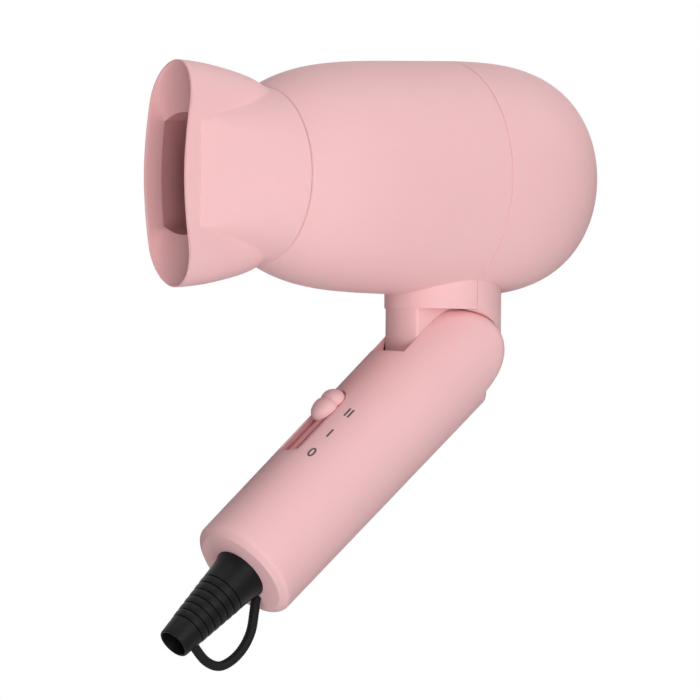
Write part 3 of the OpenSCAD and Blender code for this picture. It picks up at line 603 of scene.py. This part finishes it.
def nozzleColumn(angle):
    # one closed line of points: outside, lip, bowl, duct, bore and rear face
    c, s = math.cos(angle), math.sin(angle)
    mouth = nozzle["length"]
    for _ in range(4):
        mouth = mouthX(nozzleReach(mouth, c, s) * s)
    outside = [(nozzle["gap"] + ahead, barrel["outlet"] - inside) for ahead, inside in nozzle["rearEdge"]]
    start = nozzle["gap"] + nozzle["skinStart"]
    spans = [start + (mouth - start - nozzle["rim"] / 2) * i / 70 for i in range(71)]
    outside += [(x, nozzleReach(x, c, s)) for x in spans]
    inner = bowlReach(c, s)
    half = (nozzleReach(mouth, c, s) - inner) / 2
    lip = [(mouth - half + half * math.sin(math.radians(a)), inner + half + half * math.cos(math.radians(a)))
           for a in range(15, 180, 15)]
    window = clippedReach(c, s, nozzle["windowRadius"], nozzle["windowHalf"], 0)
    edgeX = windowEdge(window * s)
    bowl = [(mouth - half + (edgeX - mouth + half) * t, inner + (window - inner) * t ** nozzle["bowlPower"])
            for t in [i / 18 for i in range(1, 19)]]
    # a crisp edge, a small step back, then the duct widens to the bore
    ledge = edgeX - nozzle["ledge"]
    back = window + nozzle["step"]
    duct = [(edgeX - 0.05, window + 0.05), (ledge, back)]
    duct += [(ledge + (nozzle["boreX"] - ledge) * t,
              back + (nozzle["boreRadius"] - back) * t ** nozzle["ductPower"])
             for t in [i / 12 for i in range(1, 13)]]
    line = outside + lip + bowl + duct + [(nozzle["gap"], nozzle["boreRadius"])]
    return [(-x, r * c, r * s) for x, r in line]


def nozzleShadeIndex(face):
    # 0 outside and rear face, 1 bowl and lip in painted shade, 2 duct in deeper painted shade
    x, y, z = face.center / mm
    outward = (face.normal.y * y + face.normal.z * z) / math.hypot(y, z)
    rearFace = abs(face.normal.x) > 0.9 and -x < nozzle["gap"] + 0.3
    onLip = -x > mouthX(z) - nozzle["rim"] / 2 + 0.02
    if rearFace or (outward >= 0.1 and not onLip):
        return 0
    return 2 if -x < windowEdge(z) - 0.1 else 1


columns = [nozzleColumn(tau * (k + 0.5) / nozzle["steps"]) for k in range(nozzle["steps"])]
nozzleSkin = makeMesh("nozzleBell", *ringSkin(columns, closed=True))
dress(nozzleSkin, satinAbs, "nozzle", "shell_plastic", "nozzle", sharp=26)
# the bowl, lip and duct take deeper pinks as painted shade
nozzleSkin.data.materials.append(innerShadeAbs)
nozzleSkin.data.materials.append(ductShadeAbs)
for face in nozzleSkin.data.polygons:
    face.material_index = nozzleShadeIndex(face)
print("nozzle made")

# the handle: drawn hanging straight down from the hinge, then folded forward
grip = {
    "radius": 18.62, "endRadius": 18.2, "length": 102.48, "offset": 2.1, "steps": 120, "edge": 0.3,
    "top": 20.0, "bore": 16.0, "floor": -20.0, "endWall": 2.3, "reliefHole": 6.5,
    "bandSlope": 33, "endTurn": 1.7, "faceRadius": 15.6,
    # the ears' rims: radius, rounding, its bends in degrees, and the run-in (inside the rim, off the skin)
    "earRadius": 15.2, "earRound": 2.3, "earBends": (80, 70, 58, 46, 34, 22, 10, 0), "earLead": (1.2, 0.4),
    "earSpan": (-15.8, 20.0), "earSteps": 60,
    # the opening for the tongue: its half width, the corner of its sloping edge and that edge's two ends
    "slotHalf": 9.1, "slotDisc": 17.0, "slotEdge": (-16.5, -15.65), "slotFore": 12, "slotAft": 22.65,
    "neckRoom": 0.3, "neckReach": 60, "hingeBore": 5.05, "boreHalf": 14.3,
    "recessTop": -35.05, "recessLength": 28.5, "recessHalf": 5.25, "recessCorner": 2.6, "recessDepth": 1.1,
    "recessRoll": 0.35, "rollDepth": 0.5, "trackFoot": 3.2, "trackPlay": 0.02, "trackGap": 0.05,
    # the track's grooves: (middle, half width, how far above the recess's lower end)
    "rails": ((-2.9, 0.65, 1.6), (1.5, 1.1, 0.9)), "railDepth": 1.1, "railTop": -39,
}
# the black disc beside the tongue that stands for the shade in the hinge's gap
shadeWasher = {"face": 8.9, "inset": 0.02, "bore": 5.3, "radius": 14.7, "steps": 96}
foldAtRest = -joints["handle_fold"]["range_deg"][0]
foldMost = foldAtRest + joints["handle_fold"]["range_deg"][1]
handlePlace = (Matrix.Translation(Vector(joints["handle_fold"]["pos_m"]))
               @ Matrix.Rotation(math.radians(foldAtRest), 4, "Y"))
# how far the cutters reach past the handle: beside it, above it and round it
besideHandle, aboveHandle, roundHandle = 30, 40, 45


def inHandle(piece):
    piece.data.transform(handlePlace)
    return piece


def gripRadius(z):
    return grip["radius"] + (grip["endRadius"] - grip["radius"]) * max(0.0, -z) / grip["length"]


# the skin's x where the slide runs, and the floor of its recess
gripFront = grip["offset"] - gripRadius(-50)
recessFloor = gripFront + grip["recessDepth"]
recessBottom = grip["recessTop"] - grip["recessLength"]


def earY(x):
    # the skin's y at x, with x held within the ears' span
    first, last = grip["earSpan"]
    aside = min(last, max(first, x)) - grip["offset"]
    return math.sqrt(max(0.01, grip["radius"] ** 2 - aside ** 2))


def earCutter():
    # all that lies outside the ears' rounded rims, above the hinge's level
    rings = []
    bends = [math.radians(b) for b in grip["earBends"]]
    leadIn, leadOut = grip["earLead"]
    for i in range(grip["earSteps"] + 1):
        a = math.radians(180 * i / grip["earSteps"])
        rim = []
        for b in bends:
            rho = grip["earRadius"] - grip["earRound"] * (1 - math.cos(b))
            rim.append((rho, max(1.0, earY(rho * math.cos(a)) - grip["earRound"] * (1 - math.sin(b)))))
        lead = rim[0][0] - leadIn
        side = [(lead, earY(lead * math.cos(a)) + leadOut)] + rim
        section = [(side[0][0], -besideHandle)] + [(rho, -y) for rho, y in side]
        section += [(rho, y) for rho, y in reversed(side)] + [(side[0][0], besideHandle)]
        section += [(roundHandle, besideHandle), (roundHandle, -besideHandle)]
        rings.append([(rho * math.cos(a), y, rho * math.sin(a)) for rho, y in section])
    return makeMesh("earCutter", *ringSkin(rings))


def recessRing(x, grow):
    # round at the upper end, with soft corners at the lower end
    half, corner = grip["recessHalf"], grip["recessCorner"]
    ring = arc(0, grip["recessTop"] - half, half + grow, 0, 180, 24)
    ring += arc(-half + corner, recessBottom + corner, corner + grow, 180, 270, 8)
    ring += arc(half - corner, recessBottom + corner, corner + grow, 270, 360, 8)
    return [(x, y, z) for y, z in ring]


def recessTool():
    # the slide's recess, widening towards the skin in a rolled edge
    roll = grip["recessRoll"]
    levels = [(gripFront + grip["trackFoot"], 0.0)]
    for a in (0, 25, 50, 75):
        levels.append((gripFront + grip["rollDepth"] - roll * math.sin(math.radians(a)),
                       roll * (1 - math.cos(math.radians(a)))))
    # and on past the skin, still widening
    levels += [(gripFront - 1.5, roll * 1.2), (gripFront - 6, roll * 1.3)]
    return makeMesh("recess", *ringSkin([recessRing(x, grow) for x, grow in levels]))


def tubeProfile():
    # closed top, straight skin, a soft turn into a sloping band that meets the flat end in a crisp line,
    # then the sleeve's hole and the hollow inside
    low = -grip["length"]
    r, turn, face = grip["endRadius"], grip["endTurn"], grip["faceRadius"]
    slope = math.radians(grip["bandSlope"])
    rise = (r - turn * (1 - math.sin(slope)) - face) * math.tan(slope)
    bend = []
    for i in range(7):
        a = math.radians((90 - grip["bandSlope"]) * i / 6)
        bend.append((low + rise + turn * (math.cos(slope) - math.sin(a)), r - turn * (1 - math.cos(a))))
    bendTop = bend[0][0]
    sides = [(grip["top"] * (10 - i) / 10, grip["radius"]) for i in range(11)]
    sides += [(bendTop * i / 48, gripRadius(bendTop * i / 48)) for i in range(1, 48)]
    hollow = [(low + grip["endWall"], grip["bore"]), (grip["floor"], grip["bore"]), (grip["floor"], 0.0)]
    return ([(grip["top"], 0.0)] + sides + bend + [(low, face), (low, grip["reliefHole"]),
            (low + grip["endWall"], grip["reliefHole"])] + hollow)


def slotOutline():
    # the tongue's opening seen from the side: a sloping edge below, open above
    edgeX, edgeZ = grip["slotEdge"]
    slopeX, slopeZ = math.cos(math.radians(foldAtRest)), math.sin(math.radians(foldAtRest))
    fore = (edgeX - grip["slotFore"] * slopeX, edgeZ - grip["slotFore"] * slopeZ)
    aft = (edgeX + grip["slotAft"] * slopeX, edgeZ + grip["slotAft"] * slopeZ)
    return [fore, (edgeX, edgeZ), aft, (besideHandle, 0), (besideHandle, aboveHandle),
            (-roundHandle, aboveHandle), (-roundHandle, fore[1])]


def foldedNeck():
    # the room that the neck needs when the handle is folded all the way
    wide = neck["radius"] + grip["neckRoom"]
    reach = grip["neckReach"]
    room = makeMesh("foldedNeck", *aboutZ([(0, 0), (0, wide), (reach, wide), (reach, 0)], 120, closed=False,
                                          centre=grip["offset"]))
    room.data.transform(Matrix.Rotation(-math.radians(foldMost), 4, "Y"))
    half, far = grip["slotHalf"], aboveHandle
    carve(room, boxSolid("slotWidth", (-2 * far, -half, -far), (far, half, far)), "INTERSECT")
    return room


handle = makeMesh("handleShell", *aboutZ(tubeProfile(), grip["steps"], closed=False, centre=grip["offset"]))
carve(handle, earCutter())
carve(handle, acrossY("slotOpening", slotOutline(), grip["slotHalf"]))
carve(handle, acrossY("slotDisc", circle(grip["slotDisc"], 120), grip["slotHalf"]))
carve(handle, foldedNeck())
carve(handle, acrossY("hingeBore", circle(grip["hingeBore"], 48), grip["boreHalf"]))
carve(handle, recessTool())
softenEdges(handle, grip["edge"], 55)
dress(inHandle(handle), satinAbs, "handle", "shell_plastic", "handle_shell", sharp=29)


def grooveShadeIndex(face):
    # 1 in a groove, where the shade is painted, 0 elsewhere; the face is still in the upright handle's place
    deep = face.center.x / mm - recessFloor
    aside = abs(face.center.y / mm)
    return 1 if 0.05 < deep < grip["railDepth"] + 0.05 and aside < grip["recessHalf"] - 0.1 else 0


trackBack = gripFront + grip["trackFoot"] - grip["trackGap"]
track = makeMesh("slideTrack", *ringSkin([recessRing(x, -grip["trackPlay"])
                                          for x in (recessFloor, trackBack)]))
for railMiddle, railHalf, railFoot in grip["rails"]:
    carve(track, boxSolid("rail", (-20, railMiddle - railHalf, recessBottom + railFoot),
                          (recessFloor + grip["railDepth"], railMiddle + railHalf, grip["railTop"])))
grooveShadeIndexes = [grooveShadeIndex(face) for face in track.data.polygons]
dress(inHandle(track), trackShadeAbs, "handle", "slide_plastic")
# the grooves' faces take the deeper rose as painted shade
track.data.materials.append(grooveShadeAbs)
track.data.polygons.foreach_set("material_index", grooveShadeIndexes)

# a thin black washer beside the tongue: a dark disc put in as painted shade where the hinge's gap is dark
shadeWasherY = (shadeWasher["face"], grip["slotHalf"] - shadeWasher["inset"])
shadeWasherRings = [[(x, y, z) for x, z in circle(r, shadeWasher["steps"])]
               for y, r in ((shadeWasherY[0], shadeWasher["bore"]), (shadeWasherY[1], shadeWasher["bore"]),
                            (shadeWasherY[1], shadeWasher["radius"]), (shadeWasherY[0], shadeWasher["radius"]))]
hingeShadeWasher = inHandle(makeMesh("hingeShadeWasher", *ringSkin(shadeWasherRings, closed=True)))
dress(hingeShadeWasher, blackNylon, "handle", "black_plastic")
print("handle made")

# the thumb slide: two humps that run into each other, on a foot in the recess
slide = {
    "top": -35.6, "foot": 0.95, "footWidth": 0.97, "around": 28, "stations": 80, "rest": 0.03, "blend": 0.2,
    # each hump: its middle below the top, half width, reach up and down the handle, height
    "humps": ((3.85, 4.75, 3.6, 3.9, 3.3), (7.65, 4.85, 3.8, 5.35, 3.35)),
    # the dip between them: its middle, width and depth as a share of the size
    "groove": (5.95, 0.45, 0.05),
}


def humpSize(s):
    # half width and height of the slide's back, s mm below its top
    wide, tall = slide["rest"], slide["rest"]
    for middle, half, up, down, height in slide["humps"]:
        along = (s - middle) / (down if s > middle else up)
        if abs(along) < 1:
            swell = math.sqrt(1 - along * along)
            wide = softMax(wide, half * swell, slide["blend"])
            tall = softMax(tall, height * swell, slide["blend"])
    middle, width, depth = slide["groove"]
    shrink = 1 - depth * math.exp(-((s - middle) / width) ** 2)
    return wide * shrink, tall * shrink


def knobSection(s):
    # half an oval over the grip's skin, then straight sides down to the foot in the recess
    wide, tall = humpSize(s)
    z = slide["top"] - s
    turns = [math.pi * i / slide["around"] for i in range(slide["around"] + 1)]
    ring = [(gripFront - tall * math.sin(a), wide * math.cos(a), z) for a in turns]
    foot, footHalf = gripFront + slide["foot"], wide * slide["footWidth"]
    return ring + [(foot, -footHalf, z), (foot, footHalf, z)]


def knobStations():
    # from the upper hump's top to the lower hump's foot, closer together at both ends
    first = slide["humps"][0][0] - slide["humps"][0][2]
    last = slide["humps"][1][0] + slide["humps"][1][3]
    count = slide["stations"]
    return [first + (last - first) * (0.5 - 0.5 * math.cos(math.pi * i / count)) for i in range(count + 1)]


knob = inHandle(makeMesh("thumbSlide", *ringSkin([knobSection(s) for s in knobStations()])))
dress(knob, slideAbs, "switch", "slide_plastic", "switch_knob", sharp=50)

# the printed marks beside the slide: II, I and 0, each a thin plate bent round the handle
marks = {"angle": 32.2, "strokeLength": 3.5, "stroke": 0.68, "corner": 0.1, "pairGap": 1.35, "two": -42.7,
         "one": -52.45, "zero": -61.7, "ovalWide": 1.18, "ovalTall": 1.9, "proud": 0.03, "sunk": 0.08}


def onGrip(t, z, lift):
    # t: mm round the handle from the marks' line, away from the slide
    r = gripRadius(z)
    a = math.radians(marks["angle"]) + t / r
    return (grip["offset"] - (r + lift) * math.cos(a), -(r + lift) * math.sin(a), z)


def strokeMark(name, t0, z0):
    corner = marks["corner"]
    half, reach = marks["stroke"] / 2 - corner, marks["strokeLength"] / 2 - corner
    outline = []
    for cx, cz, start in ((half, reach, 0), (-half, reach, 90), (-half, -reach, 180), (half, -reach, 270)):
        outline += arc(cx, cz, corner, start, start + 90, 3)
    rings = [[onGrip(t0 + t, z0 + z, lift) for t, z in outline] for lift in (-marks["sunk"], marks["proud"])]
    return inHandle(makeMesh(name, *ringSkin(rings)))


def ovalMark(name, z0):
    wide, tall, stroke = marks["ovalWide"], marks["ovalTall"], marks["stroke"]
    rings = []
    for c, s in circle(1, 48):
        outer = (wide * c, z0 + tall * s)
        inner = ((wide - stroke) * c, z0 + (tall - stroke) * s)
        rings.append([onGrip(*outer, -marks["sunk"]), onGrip(*outer, marks["proud"]),
                      onGrip(*inner, marks["proud"]), onGrip(*inner, -marks["sunk"])])
    return inHandle(makeMesh(name, *ringSkin(rings, closed=True)))


for mark in (strokeMark("markTwoA", -marks["pairGap"] / 2, marks["two"]),
             strokeMark("markTwoB", marks["pairGap"] / 2, marks["two"]),
             strokeMark("markOne", 0, marks["one"]), ovalMark("markZero", marks["zero"])):
    dress(mark, printInk, "handle", "black_plastic")
print("slide and marks made")

# the cord sleeve: a tapering tube with a flared root and ring grooves; lengths run down from the handle
sleeve = {
    "base": 8.71, "tip": 5.4, "length": 34.3, "swell": 0.5, "swellReach": 1.6, "rootEdge": 0.25,
    "tipEdge": 0.4, "bore": 3.6, "flange": 1.6, "flangeRadius": 9.0, "play": 0.05, "steps": 144,
    "plain": (0.25, 0.6, 1.0, 1.4, 1.8, 2.3, 2.9, 3.5, 4.2, 5.2, 6.2, 7.2, 8.2),
    "grooves": 7, "from": 9.5, "pitch": 2.9, "width": 0.5, "depth": 0.4, "bulge": 0.12,
    # a groove's section: (share of its width, share of its depth)
    "section": ((0, 0), (0.12, 0.25), (0.2, 0.7), (0.34, 1), (0.66, 1), (0.8, 0.7), (0.88, 0.25), (1, 0)),
}


def sleeveTaper(s):
    taper = sleeve["base"] - (sleeve["base"] - sleeve["tip"]) * s / sleeve["length"]
    return taper + sleeve["swell"] * math.exp(-(s / sleeve["swellReach"]) ** 2)


def sleeveProfile():
    # the flange inside the handle, the outside with its grooves, the rounded tip and the cord's bore
    low = -grip["length"]
    inside = low + grip["endWall"]
    hole = grip["reliefHole"] - sleeve["play"]
    line = [(inside + sleeve["flange"], sleeve["bore"]), (inside + sleeve["flange"], sleeve["flangeRadius"]),
            (inside, sleeve["flangeRadius"]), (inside, hole), (low, hole),
            (low, sleeveTaper(0) - sleeve["rootEdge"])]
    line += [(low - s, sleeveTaper(s)) for s in sleeve["plain"]]
    width, rib = sleeve["width"], sleeve["pitch"] - sleeve["width"]
    for i in range(sleeve["grooves"]):
        s = sleeve["from"] + i * sleeve["pitch"]
        line += [(low - s - width * t, sleeveTaper(s + width * t) - sleeve["depth"] * sink)
                 for t, sink in sleeve["section"]]
        s += width
        if i < sleeve["grooves"] - 1:
            line += [(low - s - rib * t, sleeveTaper(s + rib * t) + sleeve["bulge"] * math.sin(math.pi * t))
                     for t in (0.15, 0.3, 0.5, 0.7, 0.85)]
    rest = sleeve["length"] - 0.5 - s
    line += [(low - s - rest * t, sleeveTaper(s + rest * t)) for t in (0.3, 0.6, 1.0)]
    end, edge = low - sleeve["length"], sleeve["tipEdge"]
    for a in (15, 30, 45, 60, 75, 90):
        line.append((end + edge * (1 - math.sin(math.radians(a))),
                     sleeve["tip"] - edge * (1 - math.cos(math.radians(a)))))
    return line + [(end + 0.1, sleeve["tip"] - 0.7), (end + 5, sleeve["bore"])]


cordSleeve = makeMesh("cordSleeve", *aboutZ(sleeveProfile(), sleeve["steps"], centre=grip["offset"]))
dress(inHandle(cordSleeve), flexPvc, "handle", "soft_black", "strain_relief", sharp=40)

# the hanging loop: a twisted cord from the handle's end to the sleeve's tip, its route as (x, z)
loop = {
    "radius": 1.525, "ribs": 10, "rib": 0.09, "lay": 1.0, "perSpan": 30, "sides": 56,
    "route": ((12, -100.9), (12.3, -103.4), (15.0, -106.7), (18.7, -111.5), (20.7, -117.2), (20.8, -123.2),
              (18.8, -128.3), (13.8, -131.0), (6.6, -131.2)),
}


def splineThrough(points, perSpan):
    points = [Vector((x, 0, z)) for x, z in points]
    last = len(points) - 1
    route = []
    for i in range(last):
        a, b, c, d = points[max(i - 1, 0)], points[i], points[i + 1], points[min(i + 2, last)]
        for k in range(perSpan):
            t = k / perSpan
            route.append(0.5 * (2 * b + (c - a) * t + (2 * a - 5 * b + 4 * c - d) * t * t
                                + (3 * b - a - 3 * c + d) * t ** 3))
    return route + [points[-1]]


def twistedRings(route):
    # fine ribs wind round the cord as they run along it
    r, sides, last = loop["radius"], loop["sides"], len(route) - 1
    out = Vector((0, 1, 0))
    rings = []
    run = 0.0
    for i, p in enumerate(route):
        run += (p - route[max(i - 1, 0)]).length
        turn = loop["lay"] * run / r
        across = (route[min(i + 1, last)] - route[max(i - 1, 0)]).normalized().cross(out)
        ring = []
        for k in range(sides):
            a = tau * k / sides
            reach = r + loop["rib"] * math.cos(loop["ribs"] * (a + turn))
            ring.append(tuple(p + reach * (math.cos(a) * out + math.sin(a) * across)))
        rings.append(ring)
    return rings


hangingLoop = makeMesh("hangingLoop", *ringSkin(twistedRings(splineThrough(loop["route"], loop["perSpan"]))))
dress(inHandle(hangingLoop), cordPvc, "handle", "soft_black", "hanging_loop", sharp=60)
print("sleeve and loop made")

# stage, light and camera: angles in degrees, lens and sensor in mm, places in metres
studio = {"azimuth": -35.09, "elevation": -0.48, "roll": 0.52, "aim": (0.0348, 0.0, -0.0552),
          "distance": 8.032, "lens": 1297.08, "sensor": 36, "floorDrop": 0.9, "floorHalf": 60,
          "floorGrey": (0.9, 0.9, 0.9, 1), "floorGlow": 0.85, "ambient": 0.06, "white": (1, 1, 1, 1)}
# each lamp: degrees to the right of the camera, degrees above it, strength, width of its disc in degrees
lamps = {"left": (-35, -10, 0.43, 50), "lowLeft": (-35, -40, 0.58, 50), "right": (15, -10, 1.42, 50),
         "highRight": (35, 20, 0.93, 50), "below": (0, -75, 0.7, 50), "above": (0, 80, 0.9, 50),
         "behind": (110, 50, 0.55, 50), "back": (180, 0, 0.9, 10)}
scene = bpy.context.scene


def outward(azimuth, elevation):
    # the direction from the object towards a camera or a lamp
    az, el = math.radians(azimuth), math.radians(elevation)
    return Vector((math.sin(az) * math.cos(el), -math.cos(az) * math.cos(el), math.sin(el)))


def makeCamera():
    camera = bpy.data.objects.new("camera", bpy.data.cameras.new("camera"))
    scene.collection.objects.link(camera)
    az, roll = math.radians(studio["azimuth"]), math.radians(studio["roll"])
    back = outward(studio["azimuth"], studio["elevation"])
    right = Vector((math.cos(az), math.sin(az), 0))
    up = back.cross(right)
    across = math.cos(roll) * right + math.sin(roll) * up
    upward = math.cos(roll) * up - math.sin(roll) * right
    camera.matrix_world = (Matrix.Translation(Vector(studio["aim"]) + back * studio["distance"])
                           @ Matrix((across, upward, back)).transposed().to_4x4())
    camera.data.sensor_width = studio["sensor"]
    camera.data.lens = studio["lens"]
    camera.data.clip_start = 0.1
    camera.data.clip_end = 200
    scene.camera = camera


def showsBackground(tree):
    # 1 for rays straight from the camera, mirrored ones and those that come through glass
    rays = addNode(tree, "ShaderNodeLightPath").outputs
    either = addNode(tree, "ShaderNodeMath", {"operation": "MAXIMUM"}, i0=rays["Is Camera Ray"],
                     i1=rays["Is Glossy Ray"])
    return addNode(tree, "ShaderNodeMath", {"operation": "MAXIMUM"}, i0=either.outputs[0],
                   i1=rays["Is Transmission Ray"]).outputs[0]


def makeFloor():
    # pale from above, with the object's shadow on it, and clear from below; the low lamps shine through it
    half, level = studio["floorHalf"], cadBounds[0][2] - studio["floorDrop"]
    mesh = bpy.data.meshes.new("floor")
    corners = [(-half, -half, level), (half, -half, level), (half, half, level), (-half, half, level)]
    mesh.from_pydata(corners, [], [(0, 1, 2, 3)])
    floor = bpy.data.objects.new("floor", mesh)
    scene.collection.objects.link(floor)
    material, tree, surface = plainMaterial("paleFloor")
    surface.inputs["Base Color"].default_value = studio["floorGrey"]
    surface.inputs["Roughness"].default_value = 0.9
    glow = addNode(tree, "ShaderNodeEmission", Color=studio["white"], Strength=1.0)
    clear = addNode(tree, "ShaderNodeBsdfTransparent")
    below = addNode(tree, "ShaderNodeNewGeometry").outputs["Backfacing"]
    lit = addNode(tree, "ShaderNodeMixShader", i0=studio["floorGlow"], i1=surface.outputs[0],
                  i2=glow.outputs[0])
    seen = addNode(tree, "ShaderNodeMixShader", i0=showsBackground(tree), i1=surface.outputs[0],
                   i2=lit.outputs[0])
    mixed = addNode(tree, "ShaderNodeMixShader", i0=below, i1=seen.outputs[0], i2=clear.outputs[0])
    tree.links.new(mixed.outputs[0], tree.nodes["Material Output"].inputs["Surface"])
    mesh.materials.append(material)
    floor.visible_shadow = False
    floor.visible_diffuse = False


def makeWorld():
    # white where it is seen, a faint even light where it only lights
    world = bpy.data.worlds.new("studio")
    scene.world = world
    world.use_nodes = True
    tree = world.node_tree
    faint = tree.nodes["Background"]
    faint.inputs["Color"].default_value = studio["white"]
    faint.inputs["Strength"].default_value = studio["ambient"]
    white = addNode(tree, "ShaderNodeBackground", Color=studio["white"], Strength=1.0)
    mixed = addNode(tree, "ShaderNodeMixShader", i0=showsBackground(tree), i1=faint.outputs[0],
                    i2=white.outputs[0])
    tree.links.new(mixed.outputs[0], tree.nodes["World Output"].inputs["Surface"])


def makeLamp(name, aside, elevation, strength, width):
    lamp = bpy.data.objects.new(name, bpy.data.lights.new(name, "SUN"))
    lamp.data.energy = strength
    lamp.data.angle = math.radians(width)
    toward = outward(studio["azimuth"] + aside, elevation)
    lamp.matrix_world = toward.to_track_quat("Z", "Y").to_matrix().to_4x4()
    scene.collection.objects.link(lamp)


makeCamera()
makeFloor()
makeWorld()
for lampName, setting in lamps.items():
    makeLamp(lampName, *setting)
scene.view_settings.view_transform = "Standard"
print("stage made")
